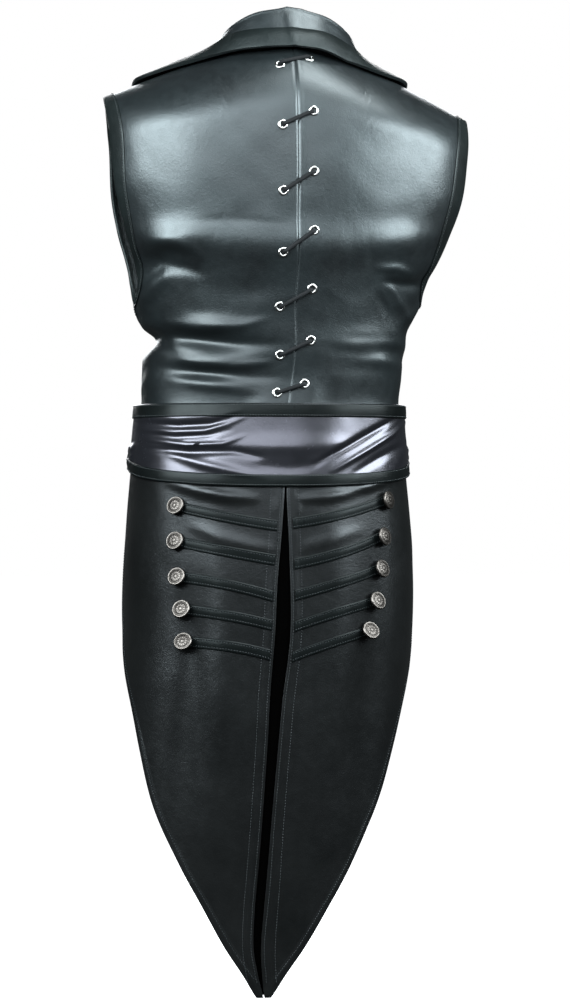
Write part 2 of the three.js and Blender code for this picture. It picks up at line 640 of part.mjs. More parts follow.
function addTails() {
  const button = turned(BUTTON_PROFILE, 10);
  for (const [word, side] of [['left', 1], ['right', -1]]) {
    add(`tail_${word}`, tailWall(side), 'tail_leather');
    BANDS[word].forEach((row, i) => {
      const stations = bandStations(side, row);
      const end = stations[stations.length - 1];
      const turn = side * tailAngle(side, end.a, end.z);
      const height = LEATHER + LAYER_GAP + BAND_LEATHER + 2 * LAYER_GAP;
      add(`tail_band_${word}_${i + 1}`, band(side, row), 'binding');
      add(`tail_button_${word}_${i + 1}`, seat(button, turn * 0.975, end.z, height), 'antique_silver');
    });
  }
  add('vent_underlap', underlap(), 'underlap');
  const lapped = LEATHER + LAP_LIFT + 2 * LAYER_GAP;
  [-245, -288, -331, -369].forEach((z, i) => {
    add(`front_button_${i + 1}`, seat(button, Math.PI, z, lapped), 'antique_silver');
  });
  add('front_button_5', seat(button, Math.PI, -424, WAIST_OUTER + LAP_LIFT + WAIST_LAP_LIFT + 2 * LAYER_GAP), 'antique_silver');
}

// Keeps a point at least clear millimetres above the body, in the upright section through it.
function above(p, clear) {
  const { x } = p;
  const width = column(BODY, 'half', p.z);
  const deep = column(BODY, p.y > 0 ? 'back' : 'front', p.z);
  const depth = deep * Math.max(0.02, 1 - Math.abs(x / width) ** (2 / SECTION_POWER)) ** (SECTION_POWER / 2);
  const centre = ridgeAt(x) - riseAt(x);
  if (p.z <= centre) {
    return vec(x, Math.sign(p.y) * Math.max(Math.abs(p.y), depth + clear), p.z);
  }
  const [dy, dz] = [p.y, p.z - centre];
  const length = Math.hypot(dy, dz);
  const share = Math.hypot(dy / depth, dz / riseAt(x));
  const scale = Math.max(1, (length / share + clear) / length);
  return vec(x, dy * scale, centre + dz * scale);
}

// The neckline from the nape (0) over the neck point and down the front edge to the break (1).
function neckline(side, along) {
  if (along < COLLAR_NECK_SHARE) {
    const x = NECK_X * Math.sin((along / COLLAR_NECK_SHARE) * (Math.PI / 2));
    const swing = NAPE_ANGLE * Math.sqrt(Math.max(0, 1 - (x / NECK_X) ** 2));
    const z = ridgeAt(x) - riseAt(x) * (1 - Math.cos(swing));
    return { p: form(turnAt(x, z), z), z };
  }
  const z = lerp(NECK_Z - 0.5, BREAK_Z, (along - COLLAR_NECK_SHARE) / (1 - COLLAR_NECK_SHARE));
  return { p: form(Math.PI - frontAngle(side, z), z), z };
}

// Points across the collar: up the stand, round the fold and down the fall to the outer edge.
function collarSection(side, along) {
  const { p: seam } = neckline(side, along);
  const stand = column(COLLAR, 'stand', along, 'along');
  const word = side > 0 ? 'left' : 'right';
  const edgeOf = (axis) => column(COLLAR, word + axis, along, 'along');
  const lift = COLLAR_LIFT + 3 * smoothstep(along, 0.6, 0.9);
  const edge = above(vec(edgeOf('X'), edgeOf('Y'), edgeOf('Z')), lift);
  const front = smoothstep(along, 0.3, 0.5);
  const inward = vec(-seam.x, -seam.y * (1 - front), 0).normalize();
  seam.addScaledVector(inward, 4.2 + 2 * front);
  seam.z += 1.5;
  const away = vec(0, Math.sign(seam.y || 1), 0);
  const up = vec(0, 0, 1 - front).addScaledVector(away, front).addScaledVector(vec(1, 0, 0), 0.15).normalize();
  const fold = seam.clone().addScaledVector(up, stand);
  const out = edge.clone().sub(fold);
  out.addScaledVector(up, -out.dot(up)).normalize();
  const around = (sideways, down) => fold.clone().addScaledVector(out, sideways).addScaledVector(up, -down);
  const start = around(3, 2.6);
  const bow = start.clone().lerp(edge, 0.45).addScaledVector(up, 0.04 * start.distanceTo(edge));
  const fall = (u) => {
    const p = start.clone().multiplyScalar((1 - u) ** 2).addScaledVector(bow, 2 * u * (1 - u));
    return above(p.addScaledVector(edge, u * u), lift);
  };
  const inside = 1 - COLLAR_BINDING_WIDTH / start.distanceTo(edge);
  return [seam, seam.clone().lerp(around(-2.6, 2.6), 0.5), around(-2.6, 2.6), around(0, 0), start,
    fall(0.25 * inside), fall(0.5 * inside), fall(0.75 * inside), fall(inside), fall(1)];
}

// The collar's middle surface, from the left front end round the neck to the right front end
function collarMiddle() {
  const shares = [0.92, 0.87, 0.8, 0.72, 0.65, 0.58, 0.52, 0.47, 0.43, 0.39, 0.35, 0.3, 0.24, 0.17, 0.09];
  const left = shares.map((along) => collarSection(1, along));
  const right = shares.map((along) => collarSection(-1, along).map((p) => vec(-p.x, p.y, p.z))).reverse();
  return [...left, collarSection(1, 0), ...right];
}

function gridNormals(grid) {
  return grid.map((row, i) => row.map((_, j) => {
    const along = grid[Math.min(i + 1, grid.length - 1)][j].clone().sub(grid[Math.max(i - 1, 0)][j]);
    const across = row[Math.min(j + 1, row.length - 1)].clone().sub(row[Math.max(j - 1, 0)]);
    return along.cross(across).normalize();
  }));
}

function addCollar() {
  const middle = collarMiddle();
  const normals = gridNormals(middle);
  const at = (i, j, height) => middle[i][j].clone().addScaledVector(normals[i][j], height);
  const grid = (height) => middle.map((row, i) => row.map((_, j) => posed(at(i, j, height))));
  add('collar', wall(grid(COLLAR_WALL / 2), grid(-COLLAR_WALL / 2)), 'leather');
  const near = COLLAR_WALL / 2 + LAYER_GAP;
  const far = near + BINDING_LEATHER;
  const sections = middle.map((row, i) => {
    const [edge, inside] = [row.length - 1, row.length - 2];
    const reach = row[edge].clone().sub(row[inside]).normalize();
    const rim = (height, out) => at(i, edge, height).addScaledVector(reach, out);
    return [
      at(i, inside, far), rim(far, LAYER_GAP + BINDING_LEATHER), rim(-far, LAYER_GAP + BINDING_LEATHER),
      at(i, inside, -far), at(i, inside, -near), rim(-near, LAYER_GAP), rim(near, LAYER_GAP), at(i, inside, near),
    ].map(posed);
  });
  add('collar_binding', loft(sections, false, HOOK_CAP, [1, 5, 6]), 'binding');
}

// Lace: in and out of every eyelet, a rising strand outside and a falling one inside
class LaceLine extends THREE.Curve {
  constructor(points) {
    super();
    this.points = points;
  }

  getPoint(t) {
    const place = clamp(t, 0, 1) * (this.points.length - 1);
    const i = Math.min(Math.floor(place), this.points.length - 2);
    return this.points[i].clone().lerp(this.points[i + 1], place - i);
  }

  getPointAt(t) {
    return this.getPoint(t);
  }

  getTangentAt(t) {
    const step = 0.5 / (this.points.length - 1);
    return this.getPoint(t + step).sub(this.getPoint(t - step)).normalize();
  }
}

function lacePoints() {
  const seats = eyeletPlaces.map((place) => {
    const turn = turnAt(place.x, place.z);
    const p = posed(layer(turn, place.z, LEATHER));
    return { p, n: posed(layer(turn, place.z, 22)).sub(p).normalize() };
  });
  const points = [];
  const toward = (seatNow, goal) => {
    const way = goal.clone().sub(seatNow.p);
    return way.addScaledVector(seatNow.n, -way.dot(seatNow.n)).normalize();
  };
  const put = (one, way, along, out) => points.push(one.p.clone().addScaledVector(way, along).addScaledVector(one.n, out));
  seats.forEach((one, k) => {
    const outerMate = seats[k % 2 === 0 ? k + 1 : k - 1];
    const innerMate = seats[k % 2 === 0 ? k - 1 : k + 1];
    const outer = toward(one, outerMate.p);
    const inner = innerMate ? toward(one, innerMate.p) : vec(0, 0, -1);
    const run = [[outer, 4.6, 5.2], [outer, 1.3, 3.9], [outer, 0, 0.9], [inner, 0, -3.4], [inner, 1.3, -6.3], [inner, 4.6, -7.6]];
    for (const [way, along, out] of k % 2 === 0 ? run.reverse() : run) put(one, way, along, out);
  });
  return points;
}

function lace() {
  const points = lacePoints();
  const path = new LaceLine(points);
  const outline = Array.from({ length: 8 }, (_, k) => {
    const angle = (k * Math.PI) / 4;
    return new THREE.Vector2(LACE_RADIUS * Math.cos(angle), LACE_RADIUS * Math.sin(angle));
  });
  const tube = new THREE.ExtrudeGeometry(new THREE.Shape(outline), {
    steps: points.length - 1, extrudePath: path, curveSegments: 1,
  });
  let solid = solidOf(tube);
  for (const end of [points[0], points[points.length - 1]]) {
    const knot = new THREE.IcosahedronGeometry(4.6, 0).translate(end.x, end.y, end.z);
    solid = solid.add(solidOf(knot));
  }
  return geometryOfSolid(solid);
}

addBodice();
addWaistband();
addTails();
addCollar();
add('lace', lace(), 'lace');

export default group;
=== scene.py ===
# A sleeveless leather tailcoat seen from behind: body, turned-down collar, waistband and two tails.
# Lengths are millimetres in the tables and functions, and metres in the finished meshes.
import math

import bmesh
import bpy
import numpy as np
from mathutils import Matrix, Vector


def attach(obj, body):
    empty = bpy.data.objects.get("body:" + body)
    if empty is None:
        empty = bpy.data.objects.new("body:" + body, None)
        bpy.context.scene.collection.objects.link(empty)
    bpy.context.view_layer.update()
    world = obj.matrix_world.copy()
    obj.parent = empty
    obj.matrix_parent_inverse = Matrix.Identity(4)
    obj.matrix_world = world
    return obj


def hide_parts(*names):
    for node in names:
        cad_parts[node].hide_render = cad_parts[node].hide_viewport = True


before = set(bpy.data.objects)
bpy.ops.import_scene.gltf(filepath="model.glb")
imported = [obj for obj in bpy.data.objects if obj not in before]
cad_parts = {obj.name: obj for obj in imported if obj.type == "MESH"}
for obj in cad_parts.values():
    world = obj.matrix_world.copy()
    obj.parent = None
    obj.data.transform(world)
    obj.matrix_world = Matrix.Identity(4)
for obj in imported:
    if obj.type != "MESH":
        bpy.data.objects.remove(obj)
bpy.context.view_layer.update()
MM = 0.001


# Tables
def table(names, *rows):
    """Columns of numbers by name."""
    return {name: np.array([row[i] for row in rows], float) for i, name in enumerate(names.split())}


# How thick each leather is, how far its lining side lies out from the body form, how much of the outer
# relief that side follows, and the gaps between neighbours and layers
LEATHER = 2.0
LINING_SIDE = 0.3
INNER_RELIEF = 0.9
WAIST_INNER_RELIEF = 0.95
BAND_LEATHER = 1.4
BINDING_LEATHER = 1.1
SEAM_GAP = 0.2
RIDGE_GAP = 0.7
LAYER_GAP = 0.4
WAIST_INNER = 2.6
WAIST_OUTER = 4.8

# Body sections by height: half the width, depth behind and in front, and how the wearer stands
SECTION_POWER = 2 / 2.3
BODY = table(
    "z half back front drift seam lean",
    (95, 228, 98, 90, -1, 5, 0.046),
    (0, 228, 112, 102, -1, 4, 0.046),
    (-60, 229, 118, 114, -1, 3.5, 0.042),
    (-120, 225, 120, 123, 1, 1.5, 0.032),
    (-170, 209.5, 118, 126, 5, -2, 0.022),
    (-215, 190, 113, 121, 8, -6, 0.014),
    (-262, 170, 106, 111, 14, -10, 0.006),
    (-305, 161, 101, 103, 15, -12.5, 0),
    (-345, 158, 99, 99, 18, -12.5, 0),
    (-390, 162, 103, 100, 20, -8, 0),
    (-470, 169, 112, 106, 21, 0, 0),
    (-560, 176, 119, 112, 21, 0, 0),
    (-650, 178, 123, 114, 22, 0, 0),
    (-744, 178, 124, 114, 30, 0, 0),
    (-866, 178, 122, 114, 37.5, 0, 0),
    (-988, 176, 119, 114, 41, 0, 0),
    (-1110, 174, 116, 114, 45, 0, 0),
)
# The neck, the shoulder line and the armholes
NECK_X = 88
NECK_Z = 44
SHOULDER_SLOPE = 0.46
SHOULDER_RISE = 110
SHOULDER_RISE_LOSS = 0.23
NAPE_ANGLE = 0.78
ARM_BOTTOM = -262
ARM_MIDDLE = -131
ARM_BACK_DEPTH = 48
ARM_FRONT_DEPTH = 58
ARM_ROUNDNESS = 2.2
# The hem under the waistband, the break of the front edges, and how far they lap
BODICE_BOTTOM = -400
BREAK_Z = -226
LAP_RIGHT = 14
LAP_LEFT = 10
LAP_LIFT = 2.7
WAIST_LAP_LIFT = 4.4
# The share of a panel's height at which the armhole begins, how evenly its rows lie above that, and
# how the front edge curves up to the neck
ARM_ROW = 0.4
ROW_SPREAD = 1.25
FRONT_CURVE = 0.8
SETTLING_PASSES = 10
# How finely the panels and the tails are drawn
PANEL_COLUMNS = 76
LOWER_ROWS = 46
UPPER_ROWS = 96
TAIL_COLUMNS = 70
TAIL_ROWS = 176
# Armhole bindings and the waistband with its bindings
PANEL_REACH = 215
ARM_TURNED_IN = 11
ARM_STITCH_INSET = 2.2
WAIST_TOP = -384.0
WAIST_SIDE_BOTTOM = -463
WAIST_BACK_DROP = 21
TOP_BINDING_WIDTH = 16
BOTTOM_BINDING_WIDTH = 14
BINDING_STITCH_INSET = 1.6
BINDING_RELIEF = 0.6

# Large soft folds, as (degrees round from the centre back, height, half length in degrees, rise along
# it, half width, depth). A negative depth is a trough.
FOLDS = (
    (56, -212, 16, -12, 13, -6), (46, -190, 16, -6, 14, 4), (70, -250, 14, -16, 15, 4),
    (33, -288, 17, 2, 10, 4.5), (44, -305, 24, 6, 9, -6), (98, -306, 26, -2, 12, -19),
    (34, -331, 16, 0, 9, 4), (40, -345, 22, 4, 8, -5), (36, -358, 17, 3, 8, 2),
    (-62, -232, 14, -8, 13, -5), (-76, -262, 16, -14, 13, 5), (-42, -307, 22, 5, 10, 2),
    (-60, -320, 20, 6, 9, -3), (-92, -299, 16, 2, 10, -8), (-50, -332, 18, 4, 9, 1.8),
    (128, -292, 22, -8, 12, -6), (134, -322, 20, -4, 12, 4), (-128, -300, 22, -8, 12, -6),
    (-136, -330, 20, -4, 12, 4), (34, -760, 7, 0, 170, -5), (-38, -740, 8, 0, 180, -5),
    (20, -700, 7, 0, 150, 3), (-20, -720, 8, 0, 170, 3),
)

# Creases pressed into the body leather, as (places across and up as seen from behind, half width,
# depth). A negative depth is a trough. Across counts from the picture's middle to the wearer's left,
# and is made up of so much of x and of y.
ACROSS_X = 0.988
ACROSS_Y = -0.156
BODICE_CREASES = (
    (((170, -180), (92, -192), (0, -195), (-79, -190), (-170, -178)), 24, 5.0),
    (((168, -176), (131, -180), (88, -192)), 22, 2.6),
    (((-100, -196), (-134, -190), (-166, -180)), 20, 2.6),
    (((131, -166), (67, -163), (-4, -168)), 4, -0.5),
    (((165, -183), (138, -187), (109, -198), (94, -212)), 8, 2.4),
    (((99, -227), (118, -220), (148, -217), (165, -229), (177, -249)), 8.5, -3.4),
    (((140, -236), (155, -250), (165, -268)), 12, -1.6),
    (((92, -244), (55, -246), (-1, -246)), 16, -1.6),
    (((143, -284), (104, -292), (55, -290), (21, -281)), 5, 1.8),
    (((170, -302), (128, -308), (67, -313), (0, -311)), 7, -1.5),
    (((128, -330), (98, -337), (61, -339), (16, -334)), 5, 2.4),
    (((152, -345), (116, -350), (61, -353), (6, -352)), 5, -0.8),
    (((121, -359), (92, -363), (61, -366), (33, -370)), 4.4, 1.0),
    (((165, -337), (162, -359), (155, -376)), 14, 1.0),
    (((55, -320), (-18, -320), (-131, -320)), 26, 2.4),
    (((177, -295), (157, -305), (138, -317)), 7, -4.0),
    (((-112, -219), (-134, -218), (-152, -223)), 5.2, 2.2),
    (((-121, -234), (-140, -237), (-165, -237)), 5.6, -3.8),
    (((-131, -242), (-140, -261), (-152, -283)), 6.5, 2.4),
    (((-113, -251), (-126, -273), (-133, -295)), 6, -1.4),
    (((-40, -306), (-73, -310), (-122, -307)), 6, 0.5),
    (((-55, -320), (-92, -322), (-145, -317)), 5.5, -0.5),
    (((-84, -331), (-99, -333), (-118, -331)), 5, 0.3),
    (((-74, -303), (-108, -304), (-138, -302)), 7, -1.4),
    (((-67, -256), (-79, -232), (-82, -210)), 22, -1.4),
)

# Creases of the glossy waistband
WAIST_CREASES = (
    (((179, -399), (128, -401), (77, -399), (55, -393)), 5.5, 2.4),
    (((170, -407), (128, -411), (89, -409), (60, -399)), 2.4, -1.6),
    (((170, -414), (133, -418), (96, -417), (70, -410), (48, -400)), 2.0, 1.9),
    (((170, -420), (131, -425), (92, -423), (65, -416)), 2.0, -1.5),
    (((165, -427), (117, -434), (74, -433), (50, -423)), 2.2, 2.1),
    (((165, -438), (116, -443), (61, -442), (28, -449)), 4.2, -2.6),
    (((138, -445), (104, -456), (60, -467), (28, -473)), 5, 2.4),
    (((55, -434), (21, -436), (-23, -436), (-72, -431)), 11, 2.6),
    (((33, -459), (0, -462), (-40, -459)), 8, -1.4),
    (((-133, -400), (-109, -415), (-79, -433), (-33, -459)), 4.2, -3.6),
    (((-145, -403), (-128, -420), (-99, -439), (-55, -466)), 3.0, 3.0),
    (((-82, -468), (-113, -449), (-143, -432)), 5, -2.2),
    (((-148, -422), (-143, -442), (-131, -459)), 5, 1.0),
)

# Creases of the tails: lit swells under the waistband, marks at the hems, and long faint ones
TAIL_CREASES = (
    (((138, -479), (104, -489), (70, -496), (36, -499)), 6, 4.2),
    (((-16, -499), (-50, -497), (-84, -491)), 5, 3.2),
    (((-78, -489), (-100, -484), (-130, -474)), 4.5, 3.4),
    (((110, -532), (76, -546), (40, -556), (14, -560)), 8, 2.0),
    (((-20, -558), (-56, -548), (-90, -536)), 8, 1.4),
    (((12, -499), (13, -521)), 1.8, 1.5),
    (((-16, -499), (-17, -521)), 1.8, 1.5),
    (((150, -560), (120, -640), (96, -760), (70, -900)), 16, -1.4),
    (((-96, -660), (-80, -760), (-52, -900)), 15, -1.3),
    (((60, -690), (52, -790), (36, -930)), 14, 1.2),
    (((-40, -680), (-30, -790), (-8, -930)), 13, 1.1),
    (((172, -480), (180, -540), (178, -620)), 12, 1.1),
    (((-142, -470), (-150, -540), (-146, -610)), 12, 1.1),
)

# Tails: how far round the outer edge lies, in degrees, and the place and half width of the slit
TAILS = table(
    "z edge slit gap",
    (-450, 108, -4, 1.2), (-490, 108, -4, 1.6), (-548, 104, -2, 5), (-610, 97, 0, 8.6),
    (-680, 84, 0, 9.6), (-744, 68, 1, 8), (-793, 59, 1, 7), (-866, 47.5, 2.5, 6.2),
    (-939, 33, 6, 6), (-988, 22.6, 9, 6), (-1037, 13.2, 10, 5), (-1070, 6.4, 5.5, 3),
    (-1097, 1.9, 0, 0.8),
)
# BACK_ARC is the share of the body's half width that a turn of one radian covers near the back
TAIL_TOP = -450
TAIL_BOTTOM = -1097
HEM_WIDTH = 11
EDGE_HEM_WIDTH = 9
HEM_STITCH_INSET = 1.8
BACK_ARC = 0.86
SLIT_STITCHING = (-486, -1080)
EDGE_STITCHING = (-470, -1075)
UNDERLAP_TOP = -468
UNDERLAP_HALF = 26

# Bands on the left (1) and right (-1) tail: heights of the middle line at the button, half way and at
# the slit, and how far out the button is
BAND_WIDTH = 13
BAND_START = 0.012
BAND_REACH = 0.75
BANDS = {
    1: ((-508, -522, -532, 123), (-550, -563, -574, 124.6), (-593, -603, -620, 123),
        (-632, -640, -654, 118.4), (-671, -676, -690, 115)),
    -1: ((-501, -519, -530, 130), (-545, -566, -579, 124.8), (-584, -602, -618, 121.7),
         (-623, -638, -657, 116), (-659, -674, -694, 107.4)),
}

# Buttons: those on the tails sit just short of the bands' ends, and those in front at these heights
BUTTON_RADIUS = 11.2
BUTTON_STEPS = 104
BUTTON_SHARE = 0.975
FRONT_BUTTONS = (-245, -288, -331, -369)
WAIST_BUTTON = -424
# How far each button's face has tipped up and turned sideways on its shank, in degrees
BUTTON_LEANS = {
    1: ((14, -6), (14, -6), (18, -5), (20, -4), (26, 0)),
    -1: ((4, 15), (8, 13), (14, 10), (20, 6), (26, 0)),
}

# Lacing: heights of the left and right eyelets and how far they stand out from the centre seam
EYELETS = ((24, 35, 18), (-50, -31, 19), (-129, -104, 18.5), (-202, -175, 19), (-267, -245, 19),
           (-325, -307, 18), (-371, -360, 16))

# Collar: how high the fold stands, and the outer edge on the left and on the right
COLLAR_LIFT = 9.2
COLLAR_WALL = 2.0
COLLAR_NECK_SHARE = 0.35
COLLAR_END = 0.92
COLLAR = table(
    "along stand leftX leftY leftZ rightX rightY rightZ",
    (0, 45.5, 0, 97, 50, 0, 97, 50),
    (0.1, 46.5, 40, 89, 47, 36, 89, 48),
    (0.2, 33, 80, 66, 41, 72, 70, 37),
    (0.3, 14, 134, 38, 25, 110, 52, 24),
    (0.4, 13, 180, 8, 8, 143, 22, 10),
    (0.5, 14, 186, -34, -22, 157, -28, -14),
    (0.62, 15, 168, -80, -74, 150, -80, -70),
    (0.75, 15, 124, -116, -134, 114, -116, -134),
    (0.88, 15, 72, -128, -186, 68, -128, -186),
    (1, 15, 20, -132, -216, 20, -132, -216),
)
COLLAR_BINDING_WIDTH = 25.0
SIDES = (("left", 1), ("right", -1))


# The body form, the same as the solids' form
def smoothstep(value, low, high):
    """A smooth rise from 0 at low to 1 at high."""
    u = np.clip((np.asarray(value, float) - low) / (high - low), 0, 1)
    return u * u * (3 - 2 * u)


def mix(a, b, share):
    """From a at 0 to b at 1."""
    return a + (b - a) * share


def signed_power(value, power):
    """A power that keeps the sign."""
    return np.sign(value) * np.abs(value) ** power


def column(rows, name, at, key="z"):
    """A smooth value of one column of a table, through its rows."""
    way = np.sign(rows[key][1] - rows[key][0])
    keys = rows[key] * way
    values = rows[name]
    at = np.asarray(at, float) * way
    slopes = np.empty_like(values)
    slopes[1:-1] = (values[2:] - values[:-2]) / (keys[2:] - keys[:-2])
    slopes[0] = (values[1] - values[0]) / (keys[1] - keys[0])
    slopes[-1] = (values[-1] - values[-2]) / (keys[-1] - keys[-2])
    i = np.clip(np.searchsorted(keys, at) - 1, 0, len(keys) - 2)
    span = keys[i + 1] - keys[i]
    u = np.clip((at - keys[i]) / span, 0, 1)
    start = (2 * u**3 - 3 * u**2 + 1) * values[i] + (u**3 - 2 * u**2 + u) * span * slopes[i]
    end = (3 * u**2 - 2 * u**3) * values[i + 1] + (u**3 - u**2) * span * slopes[i + 1]
    return start + end


def ridge_at(x):
    """The height of the shoulder line."""
    return NECK_Z - (np.abs(x) - NECK_X) * SHOULDER_SLOPE


def rise_at(x):
    """How far below the shoulder line the body begins to round over."""
    return SHOULDER_RISE - SHOULDER_RISE_LOSS * np.abs(x)


def shoulder_share(x, z):
    """How much of its depth a section keeps, until it rounds over the shoulder."""
    u = np.clip((z - ridge_at(x) + rise_at(x)) / rise_at(x), 0, 1)
    return np.sqrt(1 - u * u)


def form(turn, z):
    """The bare body, turn radians round from the centre back."""
    turn, z = np.broadcast_arrays(np.asarray(turn, float), np.asarray(z, float))
    x = column(BODY, "half", z) * signed_power(np.sin(turn), SECTION_POWER)
    deep = np.where(np.cos(turn) > 0, column(BODY, "back", z), column(BODY, "front", z))
    y = deep * signed_power(np.cos(turn), SECTION_POWER) * shoulder_share(x, z)
    return np.stack([x, y, z], axis=-1)


def unit(vectors):
    """Directions of length one."""
    return vectors / np.maximum(np.linalg.norm(vectors, axis=-1, keepdims=True), 1e-9)


def fold_depth(turn, z):
    """How far the large folds lift or press the leather."""
    degrees = np.degrees(turn)
    out = np.zeros(np.broadcast(degrees, z).shape)
    for at, height, run, rise, wide, depth in FOLDS:
        along = (degrees - at) / run
        across = (z - height - rise * along) / wide
        out += depth * np.exp(-along**2 - across**2)
    return out


def outward(turn, z):
    """The direction straight out of the bare body."""
    step = 0.02
    high = np.minimum(z + 1.5, ridge_at(form(turn, z)[..., 0]))
    around = form(turn + step, z) - form(turn - step, z)
    up = form(turn, high) - form(turn, z - 1.5)
    return -unit(np.cross(around, up))


def layer(turn, z, height):
    """A point of a layer, height out from the inside of the leather."""
    lift = np.asarray(height + fold_depth(turn, z))[..., None]
    return form(turn, z) + outward(turn, z) * lift


def posed(p):
    """The body drifts sideways towards the waist and leans a little."""
    x, y, z = p[..., 0], p[..., 1], p[..., 2]
    moved = x + column(BODY, "drift", z) + column(BODY, "seam", z) * np.clip(y / 110, 0, 1)
    return np.stack([moved, y, z + column(BODY, "lean", z) * x], axis=-1)


def turn_at(x, z):
    """The turn round from the centre back at which the body is x wide."""
    share = np.clip(x / column(BODY, "half", z), -1, 1)
    return np.arcsin(signed_power(share, 1 / SECTION_POWER))


# Small relief
def crease_relief(creases, turn, z):
    """How far the listed creases lift or press the leather, measured as seen from behind."""
    p = posed(form(turn, z))
    across = ACROSS_X * p[..., 0] + ACROSS_Y * p[..., 1]
    up = p[..., 2]
    relief = np.zeros(across.shape)
    for places, width, depth in creases:
        points = np.array(places, float)
        pieces = np.linalg.norm(np.diff(points, axis=0), axis=1)
        starts = np.concatenate([[0], np.cumsum(pieces)])
        nearest = np.full(across.shape, 1e9)
        share = np.zeros(across.shape)
        for k in range(len(points) - 1):
            way = (points[k + 1] - points[k]) / pieces[k]
            along = np.clip((across - points[k][0]) * way[0] + (up - points[k][1]) * way[1], 0, pieces[k])
            gap = np.hypot(across - points[k][0] - along * way[0], up - points[k][1] - along * way[1])
            closer = gap < nearest
            nearest = np.where(closer, gap, nearest)
            share = np.where(closer, (starts[k] + along) / starts[-1], share)
        # Each crease fades and narrows towards its ends
        taper = np.sin(np.pi * np.clip(0.04 + 0.92 * share, 0, 1)) ** 0.7
        relief += depth * taper * np.exp(-(nearest / (width * (0.6 + 0.4 * taper))) ** 2)
    return relief * smoothstep(np.cos(turn), -0.12, 0.2)


def slack(p, size):
    """The soft unevenness of worn leather, at one size of swell."""
    x, y, z = (p[..., k] / size for k in range(3))
    swell = np.sin(1.7 * x + 0.9 * z + 1.3 * np.sin(1.1 * z + 0.6 * y))
    swell += 0.8 * np.sin(2.3 * z - 1.1 * x + 1.7 * np.sin(0.8 * x + 1.9 * y))
    swell += 0.5 * np.sin(3.1 * y + 2.2 * z + 1.5 * np.sin(1.4 * x))
    return swell / 2.3


def side_creases(turn, z):
    """Short slanting creases over the hidden flanks and fronts."""
    degrees = np.abs(np.degrees(turn))
    at = np.where(turn > 0, 0.0, 5.0)
    flank = smoothstep(degrees, 74, 100) * smoothstep(-z, 196, 250) * (1 - smoothstep(-z, 350, 392))
    slant = z + (0.55 + 0.1 * np.sin(degrees * 0.11)) * (degrees - 110) + at
    waves = np.sin(slant / 5.6 + 1.2 * np.sin(degrees * 0.07 + z * 0.02))
    fading = 0.5 + 0.5 * np.sin(degrees * 0.16 + z * 0.05 + at)
    return 1.5 * flank * waves * fading


# Mesh making. Edges sharper than so many degrees stay crisp.
SHARP_ANGLE = 62


def mesh_object(name, points, faces, finish):
    """One smooth-shaded object from millimetre points."""
    mesh = bpy.data.meshes.new(name)
    mesh.from_pydata((np.asarray(points, float) * MM).tolist(), [], faces)
    work = bmesh.new()
    work.from_mesh(mesh)
    bmesh.ops.recalc_face_normals(work, faces=work.faces)
    work.to_mesh(mesh)
    work.free()
    mesh.polygons.foreach_set("use_smooth", [True] * len(mesh.polygons))
    mesh.set_sharp_from_angle(angle=math.radians(SHARP_ANGLE))
    mesh.materials.append(finish)
    piece = bpy.data.objects.new(name, mesh)
    bpy.context.scene.collection.objects.link(piece)
    return piece


def grid_faces(rows, cols, first=0):
    """Four-sided faces of a grid of points."""
    at = np.arange(rows * cols).reshape(rows, cols) + first
    quads = np.stack([at[:-1, :-1], at[:-1, 1:], at[1:, 1:], at[1:, :-1]], axis=-1)
    return quads.reshape(-1, 4).tolist()


def sheet_mesh(outer, inner):
    """Points and faces of a thin shell between two grids, with a rounded edge all round."""
    rows, cols = outer.shape[:2]
    ring = [(0, j) for j in range(cols)]
    ring += [(i, cols - 1) for i in range(1, rows)]
    ring += [(rows - 1, j) for j in range(cols - 2, -1, -1)]
    ring += [(i, 0) for i in range(rows - 2, 0, -1)]
    edge = np.array(ring)
    inside = np.clip(edge, 1, [rows - 2, cols - 2])
    rim_out = outer[edge[:, 0], edge[:, 1]]
    rim_in = inner[edge[:, 0], edge[:, 1]]
    away = unit(rim_out - outer[inside[:, 0], inside[:, 1]])
    thick = np.linalg.norm(rim_out - rim_in, axis=-1, keepdims=True)
    # Three rows round the edge: how far through the wall each lies, and how far it bulges, in walls
    rims = [mix(rim_out, rim_in, s) + away * thick * r for s, r in ((0.18, 0.2), (0.5, 0.32), (0.82, 0.2))]
    count = rows * cols
    points = np.concatenate([outer.reshape(-1, 3), inner.reshape(-1, 3), *rims])
    faces = grid_faces(rows, cols) + grid_faces(rows, cols, count)
    flat = edge[:, 0] * cols + edge[:, 1]
    size = len(edge)
    loops = [flat, 2 * count + np.arange(size), 2 * count + size + np.arange(size)]
    loops += [2 * count + 2 * size + np.arange(size), count + flat]
    for low, high in zip(loops[:-1], loops[1:]):
        for k in range(size):
            n = (k + 1) % size
            faces.append([int(low[k]), int(low[n]), int(high[n]), int(high[k])])
    return points, faces


def ring_mesh(sections, closed):
    """Points and faces of a bar through equal closed sections, capped where it ends."""
    count, size = sections.shape[:2]
    faces = []
    for i in range(count if closed else count - 1):
        n = (i + 1) % count
        for j in range(size):
            k = (j + 1) % size
            faces.append([i * size + j, i * size + k, n * size + k, n * size + j])
    if not closed:
        faces.append(list(range(size)))
        faces.append(list(range((count - 1) * size, count * size)))
    return sections.reshape(-1, 3), faces


def settle(piece, slot, *nodes):
    """Puts a piece on the coat's one body, in place of its solids. slot is not used."""
    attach(piece, "root")
    if nodes:
        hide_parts(*nodes)


# Thread stitches: length, step along the line, sides, and the thread's radius in the finer rows
STITCH_LENGTH = 2.3
STITCH_STEP = 3.4
STITCH_SIDES = 5
FINE_STITCH = 0.36


